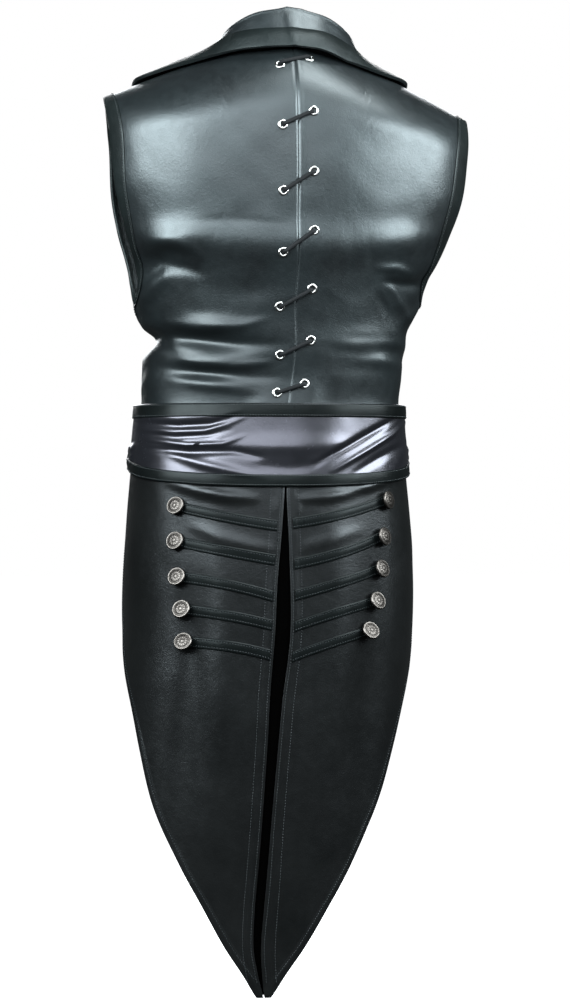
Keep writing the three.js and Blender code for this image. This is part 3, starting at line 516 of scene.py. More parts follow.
def stitches(name, lines, finish, slot, radius=0.42):
    """A row of raised thread stitches along each line, given as (points, directions out)."""
    points = []
    faces = []
    ring = np.arange(STITCH_SIDES) * 2 * np.pi / STITCH_SIDES
    for line, out in lines:
        steps = np.linalg.norm(np.diff(line, axis=0), axis=1)
        run = np.concatenate([[0], np.cumsum(steps)])
        count = int(run[-1] // STITCH_STEP)
        for k in range(count):
            start = (k + 0.5) * run[-1] / count - STITCH_LENGTH / 2
            at = np.clip([start, start + STITCH_LENGTH], 0, run[-1])
            ends = np.stack([np.interp(at, run, line[:, c]) for c in range(3)], axis=-1)
            up = unit(np.array([np.interp(at.mean(), run, out[:, c]) for c in range(3)]))
            way = unit(ends[1] - ends[0])
            beside = unit(np.cross(way, up))
            first = len(points)
            points.append(ends[0] - up * radius * 0.5)
            for share, grow in ((0.14, 0.75), (0.5, 1.0), (0.86, 0.75)):
                centre = mix(ends[0], ends[1], share) + up * radius * (0.2 + 0.5 * grow)
                for angle in ring:
                    rim = beside * np.cos(angle) + up * np.sin(angle) * 0.8
                    points.append(centre + rim * radius * grow)
            points.append(ends[1] - up * radius * 0.5)
            low, middle, high = (first + 1 + STITCH_SIDES * ring_number for ring_number in range(3))
            for j in range(STITCH_SIDES):
                n = (j + 1) % STITCH_SIDES
                faces.append([first, low + j, low + n])
                faces.append([low + j, low + n, middle + n, middle + j])
                faces.append([middle + j, middle + n, high + n, high + j])
                faces.append([high + STITCH_SIDES, high + n, high + j])
    settle(mesh_object(name, points, faces, finish), slot)


# Finishes
def linear(code):
    """A colour from its sRGB hex value."""
    parts = [int(code[k:k + 2], 16) / 255 for k in (1, 3, 5)]
    return [p / 12.92 if p <= 0.04045 else ((p + 0.055) / 1.055) ** 2.4 for p in parts] + [1.0]


def add_node(tree, kind, settings=None, links=None):
    """Adds a node, with its settings and what feeds its sockets."""
    node = tree.nodes.new(kind)
    for key, value in (settings or {}).items():
        if key in node.inputs:
            node.inputs[key].default_value = value
        else:
            setattr(node, key, value)
    for key, source in (links or {}).items():
        tree.links.new(source, node.inputs[key])
    return node


def new_finish(name):
    """An empty finish and its node tree."""
    finish = bpy.data.materials.new(name)
    finish.use_nodes = True
    finish.node_tree.nodes.clear()
    return finish, finish.node_tree


# Slow patches of wear lie about 70 mm apart and small spots about 11 mm apart, the same on every hide.
# Real pores are finer than a pixel, so they are drawn about 1.4 mm apart to show.
PATCHES_PER_METRE = 14.0
SPOTS_PER_METRE = 90.0
# Painted shade on the body leather: its shine falls from full above one height to its least below another, in
# metres, darkening the small of the back
SHADED_BELOW = -0.28
FULL_SHINE_ABOVE = -0.19


def per_metre(per_cm):
    """A pattern's scale from how many of its marks lie in 10 mm."""
    return per_cm / (10 * MM)


def leather_finish(name, deep, worn, roughness, shine, gloss, glint, pores_per_cm, grain_depth, patches,
                   shaded_waist_shine=None):
    """Smooth chrome-tanned hide: pore grain, slow patches of wear and a soft waxed gloss.

    deep and worn are its two colours. shine and gloss are how much the hide and its wax reflect, and
    glint is the tint of that. grain_depth is in mm, and patches is how far the roughness wanders.
    The last argument, when given, is painted shade: a lower shine below the small of the back.
    """
    finish, tree = new_finish(name)
    place = add_node(tree, "ShaderNodeTexCoord").outputs["Object"]
    pore_scale = per_metre(pores_per_cm)
    swell = add_node(tree, "ShaderNodeTexNoise",
                     {"Scale": PATCHES_PER_METRE, "Detail": 4.0, "Roughness": 0.55}, {"Vector": place})
    mottle = add_node(tree, "ShaderNodeTexNoise",
                      {"Scale": SPOTS_PER_METRE, "Detail": 3.0, "Roughness": 0.6}, {"Vector": place})
    pores = add_node(tree, "ShaderNodeTexVoronoi", {"Scale": pore_scale, "feature": "F1"}, {"Vector": place})
    wrinkle = add_node(tree, "ShaderNodeTexNoise",
                       {"Scale": pore_scale * 0.3, "Detail": 6.0, "Roughness": 0.6, "Distortion": 0.6},
                       {"Vector": place})
    shade = add_node(tree, "ShaderNodeMapRange", {"From Min": 0.32, "From Max": 0.68},
                     {"Value": swell.outputs["Fac"]})
    colour = add_node(tree, "ShaderNodeMix", {"data_type": "RGBA"}, {"Factor": shade.outputs["Result"]})
    colour.inputs[6].default_value = linear(deep)
    colour.inputs[7].default_value = linear(worn)
    rough = add_node(tree, "ShaderNodeMapRange",
                     {"From Min": 0.3, "From Max": 0.7, "To Min": roughness - patches,
                      "To Max": roughness + patches}, {"Value": mottle.outputs["Fac"]})
    fine = add_node(tree, "ShaderNodeBump", {"Strength": 0.5, "Distance": grain_depth * MM},
                    {"Height": pores.outputs["Distance"]})
    soft = add_node(tree, "ShaderNodeBump", {"Strength": 0.6, "Distance": 3 * grain_depth * MM},
                    {"Height": wrinkle.outputs["Fac"], "Normal": fine.outputs["Normal"]})
    settings = {"IOR": 1.5, "Specular IOR Level": shine, "Specular Tint": linear(glint),
                "Coat Weight": gloss, "Coat Roughness": 0.3, "Coat Tint": linear(glint)}
    skin = add_node(tree, "ShaderNodeBsdfPrincipled", settings,
                    {"Base Color": colour.outputs[2], "Roughness": rough.outputs["Result"],
                     "Normal": soft.outputs["Normal"]})
    if shaded_waist_shine is not None:
        # Painted shade: the shine is lowered with height, towards the small of the back
        height = add_node(tree, "ShaderNodeSeparateXYZ", None, {"Vector": place}).outputs["Z"]
        painted_shade = add_node(tree, "ShaderNodeMapRange",
                          {"From Min": SHADED_BELOW, "From Max": FULL_SHINE_ABOVE, "To Min": shaded_waist_shine,
                           "To Max": shine}, {"Value": height})
        tree.links.new(painted_shade.outputs["Result"], skin.inputs["Specular IOR Level"])
    add_node(tree, "ShaderNodeOutputMaterial", None, {"Surface": skin.outputs["BSDF"]})
    return finish


def plain_finish(name, deep, pale, roughness, metallic, marks_per_cm, depth, gloss):
    """A finish with one fine pattern of its own in colour and relief, depth mm deep."""
    finish, tree = new_finish(name)
    place = add_node(tree, "ShaderNodeTexCoord").outputs["Object"]
    flecks = add_node(tree, "ShaderNodeTexNoise",
                      {"Scale": per_metre(marks_per_cm), "Detail": 4.0, "Roughness": 0.6}, {"Vector": place})
    shade = add_node(tree, "ShaderNodeMapRange", {"From Min": 0.35, "From Max": 0.65},
                     {"Value": flecks.outputs["Fac"]})
    colour = add_node(tree, "ShaderNodeMix", {"data_type": "RGBA"}, {"Factor": shade.outputs["Result"]})
    colour.inputs[6].default_value = linear(deep)
    colour.inputs[7].default_value = linear(pale)
    rough = add_node(tree, "ShaderNodeMapRange",
                     {"To Min": roughness * 0.85, "To Max": min(1, roughness * 1.15)},
                     {"Value": flecks.outputs["Fac"]})
    relief = add_node(tree, "ShaderNodeBump", {"Strength": 0.5, "Distance": depth * MM},
                      {"Height": flecks.outputs["Fac"]})
    skin = add_node(tree, "ShaderNodeBsdfPrincipled", {"Metallic": metallic, "Specular IOR Level": gloss},
                    {"Base Color": colour.outputs[2], "Roughness": rough.outputs["Result"],
                     "Normal": relief.outputs["Normal"]})
    add_node(tree, "ShaderNodeOutputMaterial", None, {"Surface": skin.outputs["BSDF"]})
    return finish


# Waxed smooth cowhide: a slate sheen where the light falls, nearly black elsewhere, with painted shade that
# dulls its shine below the small of the back
BODY_LEATHER = leather_finish(
    "waxed_cowhide_shaded_below", deep="#0b0d0e", worn="#121617", roughness=0.37, shine=0.5, gloss=0.2,
    glint="#e2f1f4", pores_per_cm=7, grain_depth=0.14, patches=0.04, shaded_waist_shine=0.3)
# The same hide on the tails, painted darker and given less shine as painted shade, and more even
SHADED_TAIL_LEATHER = leather_finish(
    "shaded_even_cowhide", deep="#080909", worn="#0d0e0e", roughness=0.31, shine=0.27, gloss=0.0,
    glint="#e8f0f4", pores_per_cm=7, grain_depth=0.12, patches=0.03)
# Glazed hide, pulled tight round the waist: sharper and cooler highlights
WAIST_LEATHER = leather_finish(
    "glazed_smooth_cowhide", deep="#0b0c0e", worn="#111214", roughness=0.25, shine=0.5, gloss=0.45,
    glint="#ebebfa", pores_per_cm=7, grain_depth=0.06, patches=0.03)
# Split-leather binding strip: matte, dark green-black
BINDING = leather_finish(
    "matte_binding_strip", deep="#080b0b", worn="#0e1313", roughness=0.42, shine=0.26, gloss=0.0,
    glint="#e4f2f2", pores_per_cm=9, grain_depth=0.16, patches=0.05)
# Folded bands of the same black hide, painted darker and duller than it as painted shade: dark faces, and
# upper edges that catch the light
BAND = leather_finish(
    "shaded_folded_band_leather", deep="#060808", worn="#0a0d0d", roughness=0.3, shine=0.1, gloss=0.0,
    glint="#e6f2f2", pores_per_cm=9, grain_depth=0.06, patches=0.03)
# Black cotton underlap, drawn near-black and without shine, partly as painted shade for the deep shadow in
# the slit. Its weave is drawn coarser than the real one.
UNDERLAP = plain_finish("black_underlap_painted_shade", deep="#010101", pale="#020202", roughness=0.95,
                        metallic=0.0, marks_per_cm=9, depth=0.1, gloss=0.0)
# Waxed braided cord: dark, with a faint shine and strands of about 1.4 mm
CORD = plain_finish("waxed_braided_cord", deep="#07090a", pale="#0e1113", roughness=0.7,
                    metallic=0.0, marks_per_cm=7, depth=0.3, gloss=0.15)
# Polished nickel plate on the rolled eyelets: bright rings, with faint waves 2.5 mm apart
NICKEL = plain_finish("polished_nickel_plate", deep="#b4b6b4", pale="#ccccc8", roughness=0.22,
                      metallic=1.0, marks_per_cm=4, depth=0.02, gloss=0.5)
# Bonded nylon thread, close to the leather's own colour, with a twist of about 0.8 mm
THREAD = plain_finish("bonded_nylon_thread", deep="#14191b", pale="#1e2628", roughness=0.5,
                      metallic=0.0, marks_per_cm=12, depth=0.05, gloss=0.4)


def antique_silver():
    """Cast silver-plated zinc, blackened in the hollows and rubbed bright on the raised ornament."""
    finish, tree = new_finish("antique_silver_plate")
    relief = add_node(tree, "ShaderNodeAttribute", {"attribute_name": "relief"})
    place = add_node(tree, "ShaderNodeTexCoord").outputs["Object"]
    wear = add_node(tree, "ShaderNodeTexNoise", {"Scale": per_metre(7), "Detail": 4.0}, {"Vector": place})
    height = add_node(tree, "ShaderNodeMath", {"operation": "ADD"},
                      {0: relief.outputs["Fac"], 1: wear.outputs["Fac"]})
    rubbed = add_node(tree, "ShaderNodeMapRange", {"From Min": 0.35, "From Max": 1.2},
                      {"Value": height.outputs[0]})
    colour = add_node(tree, "ShaderNodeMix", {"data_type": "RGBA"}, {"Factor": rubbed.outputs["Result"]})
    colour.inputs[6].default_value = linear("#1f1d1b")
    colour.inputs[7].default_value = linear("#625e5a")
    rough = add_node(tree, "ShaderNodeMapRange", {"To Min": 0.5, "To Max": 0.3},
                     {"Value": rubbed.outputs["Result"]})
    bump = add_node(tree, "ShaderNodeBump", {"Strength": 0.4, "Distance": 0.05 * MM},
                    {"Height": wear.outputs["Fac"]})
    skin = add_node(tree, "ShaderNodeBsdfPrincipled", {"Metallic": 1.0},
                    {"Base Color": colour.outputs[2], "Roughness": rough.outputs["Result"],
                     "Normal": bump.outputs["Normal"]})
    add_node(tree, "ShaderNodeOutputMaterial", None, {"Surface": skin.outputs["BSDF"]})
    return finish


SILVER = antique_silver()


# Body panels. side is 1 on the wearer's left and -1 on the right, face is 1 behind and -1 in front.
def arm_angle(face, z):
    """The panel's side edge: the side seam, and the armhole above it."""
    deep = column(BODY, "back" if face > 0 else "front", z)
    reach = np.minimum(1, np.abs((z - ARM_MIDDLE) / (ARM_MIDDLE - ARM_BOTTOM)))
    share = (1 - reach**ARM_ROUNDNESS) ** (1 / ARM_ROUNDNESS)
    y = share * (ARM_BACK_DEPTH if face > 0 else ARM_FRONT_DEPTH)
    return np.where(z < ARM_BOTTOM, np.pi / 2, np.arccos(np.clip(y / deep, 0, 1) ** (1 / SECTION_POWER)))


def front_angle(side, z):
    """The front edge: over the lap, and above the break up to the neck point."""
    lap = LAP_LEFT if side > 0 else LAP_RIGHT
    u = np.clip((z - BREAK_Z) / (NECK_Z - BREAK_Z), 0, 1)
    x = -lap + (NECK_X + lap) * u**FRONT_CURVE
    return np.arcsin(signed_power(x / column(BODY, "half", z), 1 / SECTION_POWER))


def place_on(side, face, a, t):
    """Angle and height of a place: a from the middle to the side, t from the hem to the top."""
    a, t = np.broadcast_arrays(np.asarray(a, float), np.asarray(t, float))

    def angle_at(z):
        start = np.zeros_like(z) if face > 0 else front_angle(side, z)
        return mix(start, arm_angle(face, z), a)

    low = mix(BODICE_BOTTOM, ARM_BOTTOM, np.clip(t / ARM_ROW, 0, 1))
    s = np.clip((t - ARM_ROW) / (1 - ARM_ROW), 0, 1) ** ROW_SPREAD
    z = mix(ARM_BOTTOM, NECK_Z, s)
    # Each pass sets the heights by the run of leather from the armhole up and over the shoulder
    for _ in range(SETTLING_PASSES):
        x = column(BODY, "half", z) * signed_power(np.sin(angle_at(z)), SECTION_POWER)
        in_neck = np.logical_and(face > 0, np.abs(x) < NECK_X)
        top_angle = np.where(in_neck, NAPE_ANGLE * np.sqrt(np.clip(1 - (x / NECK_X) ** 2, 0, 1)), 0)
        rise = rise_at(x)
        deep = column(BODY, "back", z) * np.abs(np.cos(angle_at(z))) ** SECTION_POWER
        curved = (np.pi / 2 - top_angle) * (rise + deep) * 0.5
        straight = ridge_at(x) - rise - ARM_BOTTOM
        run = s * (curved + straight)
        swing = np.pi / 2 - ((run - straight) / curved) * (np.pi / 2 - top_angle)
        z = np.where(run < straight, ARM_BOTTOM + run, ridge_at(x) - rise + rise * np.cos(swing))
    z = np.where(t <= ARM_ROW, low, z)
    return angle_at(z), z


def panel_place(side, face, a, t):
    """How far round the coat and how high a place on a panel lies."""
    angle, z = place_on(side, face, a, t)
    return (side * angle if face > 0 else side * (np.pi - angle)), z


def panel_point(side, face, a, t, height):
    """A point of a panel, clear of its neighbours at the seams and lapped at the front."""
    turn, z = panel_place(side, face, a, t)
    own = side * form(turn, z)[..., 0]
    lap = LAP_LIFT * (1 - smoothstep(own, 34, 66)) if face < 0 and side < 0 else 0
    p = layer(turn, z, height + lap)
    shift = np.zeros(p.shape)
    if face > 0:
        shift[..., 0] = side * SEAM_GAP
    shift[..., 1] = face * mix(SEAM_GAP, RIDGE_GAP, smoothstep(np.asarray(t, float), 0.95, 1))
    return p + shift


def seam_relief(side, face, a, t):
    """The raised seam beside the centre back: turned under on the left, felled over on the right."""
    turn, z = panel_place(side, face, a, t)
    own = np.abs(form(turn, z)[..., 0])
    fading = 0.15 + 0.85 * smoothstep(z, -270, -170)
    if side > 0:
        rolled = -1.0 * np.exp(-(own / 1.1) ** 2) + 0.1 * np.exp(-((own - 3.0) / 1.8) ** 2)
        return rolled * fading
    welt = 0.5 * smoothstep(own, 0.2, 2.4) * (1 - smoothstep(own, 4.0, 9.0))
    return (welt - 0.9 * np.exp(-(own / 0.9) ** 2)) * fading


def body_relief(turn, z):
    """All the soft relief of the bodice leather.

    It is calm over the shoulders and flat under the waistband, and is tucked in towards that.
    """
    p = form(turn, z)
    calm = smoothstep(-z, -30, 40)
    uneven = (0.55 * slack(p, 46) + 0.22 * slack(p, 17)) * (0.4 + 0.6 * calm)
    tight = 1 - smoothstep(-z, 372, 392)
    tuck = 4.6 * smoothstep(-z, 346, 386) * smoothstep(np.abs(p[..., 0]), 24, 56)
    return (crease_relief(BODICE_CREASES, turn, z) + side_creases(turn, z) + uneven) * tight - tuck


def eyelet_places():
    """Each eyelet's name, side, place across and height, from the top down."""
    places = []
    for i, (left, right, out) in enumerate(EYELETS, 1):
        places.append((f"eyelet_left_{i}", 1, out, left))
        places.append((f"eyelet_right_{i}", -1, -out, right))
    return places


def body_panel(side, face, name, node):
    """One panel, with closer columns beside the centre-back seam."""
    columns = np.linspace(0, 1, PANEL_COLUMNS)
    beside_seam = np.array([0, 0.004, 0.008, 0.012, 0.017, 0.022, 0.027, 0.032, 0.037, 0.043])
    columns = np.concatenate([beside_seam, columns[4:]]) if face > 0 else columns
    rows = np.concatenate([np.linspace(0, ARM_ROW, LOWER_ROWS)[:-1], np.linspace(ARM_ROW, 1, UPPER_ROWS)])
    a, t = np.meshgrid(columns, rows)
    turn, z = panel_place(side, face, a, t)
    relief = body_relief(turn, z)
    if face > 0:
        relief = relief + seam_relief(side, face, a, t)
    outer = posed(panel_point(side, face, a, t, LEATHER + relief))
    inner = posed(panel_point(side, face, a, t, LINING_SIDE + relief * INNER_RELIEF))
    points, faces = sheet_mesh(outer, inner)
    piece = mesh_object(name, points, faces, BODY_LEATHER)
    settle(piece, "leather", node)


def binding_section(at, width):
    """Points round a folded strip: out over the edge and back inside.

    at(v, height) places a row v in from the edge. The lists give v as a share, and the height.
    """
    far = BINDING_LEATHER
    rim = unit(at(0, 0) - at(6, 0))
    outer = LEATHER + 0.35
    face = [at(width * v, outer + far * h) for v, h in
            ((1, 0), (1.03, 0.5), (0.99, 0.95), (0.94, 1.1), (0.75, 1.0), (0.5, 1.12), (0.25, 1.0),
             (0.06, 1.1))]
    edge = [at(0, outer + 0.6 * far) + rim * 1.4, at(0, LEATHER / 2) + rim * 2.0, at(0, -0.2) + rim * 1.4]
    back = [at(ARM_TURNED_IN * v, -h) for v, h in
            ((0.1, 1.1), (0.5, 1.1), (0.95, 1.0), (1, 0.25), (0.5, 0.2))]
    inside = [at(0, -0.2) + rim * 0.3, at(0, outer - 0.1) + rim * 0.3, at(width * 0.5, outer - 0.12)]
    return np.stack(face + edge + back + inside, axis=1)


def armhole_place(side, face, shares):
    """Places a row of points along half the armhole: v in from its edge, height off the lining side."""
    t = mix(ARM_ROW, 1, shares)
    slant = np.radians(90 * (1 - smoothstep(shares, 0, 0.34)))

    def at(v, height):
        a = 1 - np.cos(slant) * v / PANEL_REACH
        low = t - np.sin(slant) * v * ARM_ROW / (ARM_BOTTOM - BODICE_BOTTOM)
        turn, z = panel_place(side, face, a, low)
        return panel_point(side, face, a, low, height + body_relief(turn, z) * INNER_RELIEF)

    return at


def armhole_binding_width(side, share):
    """The strip widens from the underarm (0) to the shoulder (1), more so on the left."""
    if side > 0:
        return mix(14, 32, smoothstep(share, 0.15, 0.95))
    return mix(20, 34, smoothstep(share, 0, 0.6))


def armhole_binding(word, side):
    """The strip folded over an armhole's edge, up the back and down the front, and its stitching."""
    shares = np.linspace(0, 1, 60)
    runs = (shares, shares[-2:0:-1])
    halves = [armhole_place(side, face, run) for face, run in zip((1, -1), runs)]
    widths = [armhole_binding_width(side, run) for run in runs]
    sections = [binding_section(at, width) for at, width in zip(halves, widths)]
    points, faces = ring_mesh(posed(np.concatenate(sections)), True)
    piece = mesh_object(f"armhole_binding_{word}_strip", points, faces, BINDING)
    settle(piece, "binding", f"armhole_binding_{word}")
    seams = [(at, width - ARM_STITCH_INSET) for at, width in zip(halves, widths)]
    line = np.concatenate([at(inset, LEATHER + 1.6) for at, inset in seams])
    out = np.concatenate([at(inset, LEATHER + 3.6) for at, inset in seams]) - line
    stitches(f"armhole_stitching_{word}", [(posed(line), out)], THREAD, "binding")


# Waistband
def waist_point(turn, z, height):
    """A point of the waistband's layers, raised where it passes over the lapped fronts and its own end."""
    # turn runs from the lapped end on the right front (-pi) round the back to the left front (pi)
    over_fronts = (LAP_LIFT + 0.2) * (1 - smoothstep(np.pi - np.abs(turn), 0.32, 0.62))
    over_left_end = WAIST_LAP_LIFT * (1 - smoothstep(turn, -np.pi + 0.16, -np.pi + 0.5))
    return posed(layer(turn, z, height + over_fronts + over_left_end))


def waist_top(turn):
    """The level upper edge."""
    return np.full(turn.shape, WAIST_TOP)


def under_top_binding(turn):
    """The lower edge of the top binding."""
    return waist_top(turn) - TOP_BINDING_WIDTH


def over_bottom_binding(turn):
    """The upper edge of the bottom binding."""
    return waist_bottom(turn) + BOTTOM_BINDING_WIDTH


def waist_bottom(turn):
    """The lower edge, which dips towards the centre back."""
    return WAIST_SIDE_BOTTOM - WAIST_BACK_DROP * np.maximum(0, np.cos(turn)) ** 0.7


def waist_relief(turn, z):
    """Creases behind, plainer waves round the hidden front, and a gathered tab at each side."""
    degrees = np.degrees(turn)
    p = form(turn, z)
    uneven = 0.35 * slack(p, 40) + 0.12 * slack(p, 14)
    away = smoothstep(np.abs(degrees), 92, 110)
    hidden = 1.3 * away * np.sin(z / 8.5 + degrees * 0.045 + 1.4 * np.sin(degrees * 0.021))
    hidden = hidden * smoothstep(-z, 388, 408) * (1 - smoothstep(-z, 440, 460))
    bumps = np.maximum(0, np.sin((z + 0.9 * np.abs(degrees)) / 1.35))
    tabs = smoothstep(np.abs(degrees), 80, 86) * (1 - smoothstep(np.abs(degrees), 98, 104))
    tabs = tabs * smoothstep(-z, 430, 436) * (1 - smoothstep(-z, 452, 460))
    return crease_relief(WAIST_CREASES, turn, z) + uneven + hidden + tabs * (2.2 + 0.8 * bumps)


# The band runs once round, with its two ends lapped at the front
WAIST_TURNS = np.linspace(-np.pi - 0.1, np.pi + 0.07, 300)


def waist_strip(name, node, slot, finish, edges, rows, walls, relief_share):
    """A strip all round the waist. edges are its top and bottom, walls its inside and outside.

    A binding's upper edge is bevelled.
    """
    shares = np.linspace(0, 1, rows)
    bow = 0
    if slot == "binding":
        shares = np.concatenate([[0, 0.03, 0.07, 0.12], shares[1:]])
        bow = (0.35 * np.sin(np.pi * shares) - 0.8 * np.maximum(0, 1 - shares / 0.1) ** 2)[:, None]
    turn, share = np.meshgrid(WAIST_TURNS, shares)
    top, bottom = edges
    near, far = walls
    z = mix(top(turn), bottom(turn), share)
    relief = waist_relief(turn, z) * relief_share
    outer = waist_point(turn, z, far + relief + bow)
    inner = waist_point(turn, z, near + relief * WAIST_INNER_RELIEF)
    points, faces = sheet_mesh(outer, inner)
    piece = mesh_object(name, points, faces, finish)
    settle(piece, slot, node)


def waistband():
    """The glossy band, its two bindings and their four rows of stitching."""
    waist_strip("waistband_leather", "waistband", "waist_leather", WAIST_LEATHER,
                (waist_top, waist_bottom), 44, (WAIST_INNER, WAIST_OUTER), 1.0)
    near = WAIST_OUTER + LAYER_GAP
    far = near + BINDING_LEATHER
    # The waistband's bindings take the bands' darker finish, painted shade, rather than the binding finish of
    # the collar and armholes
    waist_strip("waistband_top_binding_strip", "waistband_top_binding", "binding", BAND,
                (waist_top, under_top_binding), 9, (near, far), BINDING_RELIEF)
    waist_strip("waistband_bottom_binding_strip", "waistband_bottom_binding", "binding", BAND,
                (over_bottom_binding, waist_bottom), 9, (near, far), BINDING_RELIEF)
    lines = []
    for edge, way in ((waist_top, -1), (under_top_binding, 1), (over_bottom_binding, -1), (waist_bottom, 1)):
        z = edge(WAIST_TURNS) + way * BINDING_STITCH_INSET
        relief = waist_relief(WAIST_TURNS, z) * BINDING_RELIEF
        line = waist_point(WAIST_TURNS, z, far + 0.1 + relief)
        lines.append((line, waist_point(WAIST_TURNS, z, far + 3 + relief) - line))
    stitches("waistband_stitching", lines, THREAD, "binding")


# Tails, the underlap behind the slit, and the bands
def slit_angle(side, z):
    """How far round a tail's inner edge lies."""
    return turn_at(side * column(TAILS, "slit", z) + column(TAILS, "gap", z), z)


def tail_angle(side, a, z):
    """How far round a place on a tail lies: a from the slit to the outer edge."""
    return mix(slit_angle(side, z), np.radians(column(TAILS, "edge", z)), a)


def arc_per_turn(z):
    """Millimetres round the body for a turn of one radian, near the back."""
    return column(BODY, "half", z) * BACK_ARC


def tail_relief(side, turn, z, turn_to_edge):
    """Creases, the turned hem beside the slit and the narrow hem at the outer edge."""
    p = form(turn, z)
    uneven = 0.5 * slack(p, 52) + 0.15 * slack(p, 19)
    from_slit = np.abs(p[..., 0]) - (side * column(TAILS, "slit", z) + column(TAILS, "gap", z))
    from_edge = turn_to_edge * arc_per_turn(z)
    hem = 0.9 * (1 - smoothstep(from_slit, HEM_WIDTH - 1.2, HEM_WIDTH + 0.6))
    hem -= 0.5 * np.exp(-((from_slit - HEM_WIDTH + HEM_STITCH_INSET) / 1.0) ** 2)
    hem += 0.7 * (1 - smoothstep(from_edge, EDGE_HEM_WIDTH - 1.2, EDGE_HEM_WIDTH + 0.6))
    hem -= 0.4 * np.exp(-((from_edge - EDGE_HEM_WIDTH + HEM_STITCH_INSET) / 1.0) ** 2)
    return crease_relief(TAIL_CREASES, turn, z) + uneven + hem


def tail_point(side, a, z, height):
    """A point of a tail's layers, with all its relief."""
    angle = tail_angle(side, a, z)
    turn = side * angle
    turn_to_edge = np.radians(column(TAILS, "edge", z)) - angle
    return posed(layer(turn, z, height + tail_relief(side, turn, z, turn_to_edge)))


def tail(word, side):
    """One tail, with closer columns at its hems, and three rows of stitching."""
    at_hem = np.array([0, 0.008, 0.016, 0.024, 0.032, 0.04, 0.048, 0.056])
    shares = np.concatenate([at_hem, np.linspace(0.066, 0.94, TAIL_COLUMNS), 1 - at_hem[::-1]])
    heights = np.linspace(TAIL_TOP, TAIL_BOTTOM, TAIL_ROWS)
    a, z = np.meshgrid(shares, heights)
    points, faces = sheet_mesh(tail_point(side, a, z, LEATHER), tail_point(side, a, z, LINING_SIDE))
    piece = mesh_object(f"tail_{word}_leather", points, faces, SHADED_TAIL_LEATHER)
    settle(piece, "tail_leather", f"tail_{word}")
    rows = np.linspace(*SLIT_STITCHING, 320)
    lines = []
    for off in (HEM_STITCH_INSET, HEM_WIDTH - HEM_STITCH_INSET):
        angle = slit_angle(side, rows) + off / arc_per_turn(rows)
        lines.append(tail_line(side, angle, rows))
    rows = np.linspace(*EDGE_STITCHING, 320)
    inset = EDGE_HEM_WIDTH - HEM_STITCH_INSET
    angle = np.radians(column(TAILS, "edge", rows)) - inset / arc_per_turn(rows)
    lines.append(tail_line(side, angle, rows))
    stitches(f"tail_stitching_{word}", lines, THREAD, "tail_leather", FINE_STITCH)


def tail_line(side, angle, z):
    """A line on the tail's surface, with its directions out, for stitching."""
    low = slit_angle(side, z)
    a = (angle - low) / (np.radians(column(TAILS, "edge", z)) - low)
    line = tail_point(side, a, z, LEATHER + 0.05)
    return line, tail_point(side, a, z, LEATHER + 3) - line


def underlap():
    """The black strip behind the slit, its near-black partly painted shade, narrowed to stay behind the
    tails' tips.
    """
    heights = np.linspace(UNDERLAP_TOP, TAIL_BOTTOM + 3, 90)
    z, u = np.meshgrid(heights, np.linspace(-1, 1, 17), indexing="ij")
    tails_half = column(BODY, "half", z) * np.sin(np.radians(column(TAILS, "edge", z)))
    half = np.minimum(UNDERLAP_HALF, 0.6 * tails_half)
    turn = turn_at(column(TAILS, "slit", z) + u * half, z)
    points, faces = sheet_mesh(posed(layer(turn, z, -0.5)), posed(layer(turn, z, -1.7)))
    piece = mesh_object("vent_underlap_cloth", points, faces, UNDERLAP)
    settle(piece, "underlap", "vent_underlap")


def band_height(row, share):
    """The height of a band's middle line, on a curve from the slit (0) to the button (1)."""
    outer, middle, inner, _ = row
    bend = 2 * outer - 4 * middle + 2 * inner
    return inner + (outer - inner - bend) * share + bend * share**2


def band_stations(side, row, first):
    """Shares round the tail and heights of the band's middle line, from the slit's hem to the button."""
    a = np.linspace(first, BAND_REACH, 260)
    z = np.full(a.shape, float(row[1]))
    for _ in range(8):
        x = np.abs(form(side * tail_angle(side, a, z), z)[:, 0])
        z = band_height(row, np.minimum(1, x / row[3]))
    kept = x <= row[3] + 2
    return np.stack([a[kept], z[kept]], axis=-1)


def band(word, side, index, row):
    """One folded band on a tail. Gives back the lines of its two rows of stitching."""
    stations = band_stations(side, row, BAND_START)[::2]
    a, z = stations[:, 0], stations[:, 1]
    near = LEATHER + LAYER_GAP
    far = near + BAND_LEATHER
    half = BAND_WIDTH / 2
    # The band's section, as (up from its middle line, out from the leather)
    outline = ((-half, near), (-half - 0.2, near + 0.7), (-half + 0.5, far - 0.2), (-half + 1.6, far),
               (-half + 2.3, far - 0.15), (-half + 3.2, far), (0, far), (half - 3.4, far),
               (half - 2.7, far - 0.15), (half - 2.0, far + 0.1), (half - 1.1, far + 0.1),
               (half - 0.2, far - 0.5), (half + 0.2, near + 0.5), (half, near), (0, near))
    sections = np.stack([tail_point(side, a, z + up, out) for up, out in outline], axis=1)
    points, faces = ring_mesh(sections, False)
    piece = mesh_object(f"tail_band_{word}_{index}_strip", points, faces, BAND)
    settle(piece, "binding", f"tail_band_{word}_{index}")
    lines = []
    for up in (half - 2.7, -half + 2.7):
        line = tail_point(side, a, z + up, far - 0.3)
        lines.append((line, tail_point(side, a, z + up, far + 3) - line))
    return lines


# Buttons, eyelets and lace
def seat_frame(turn, z, height):
    """Where something is seated on the leather: its place and three directions."""
    p = posed(layer(turn, z, height))
    out = unit(posed(layer(turn, z, 20.0)) - posed(layer(turn, z, 0.0)))
    up = unit(np.array([0, 0, 1.0]) - out * out[2])
    return p, np.cross(up, out), up, out


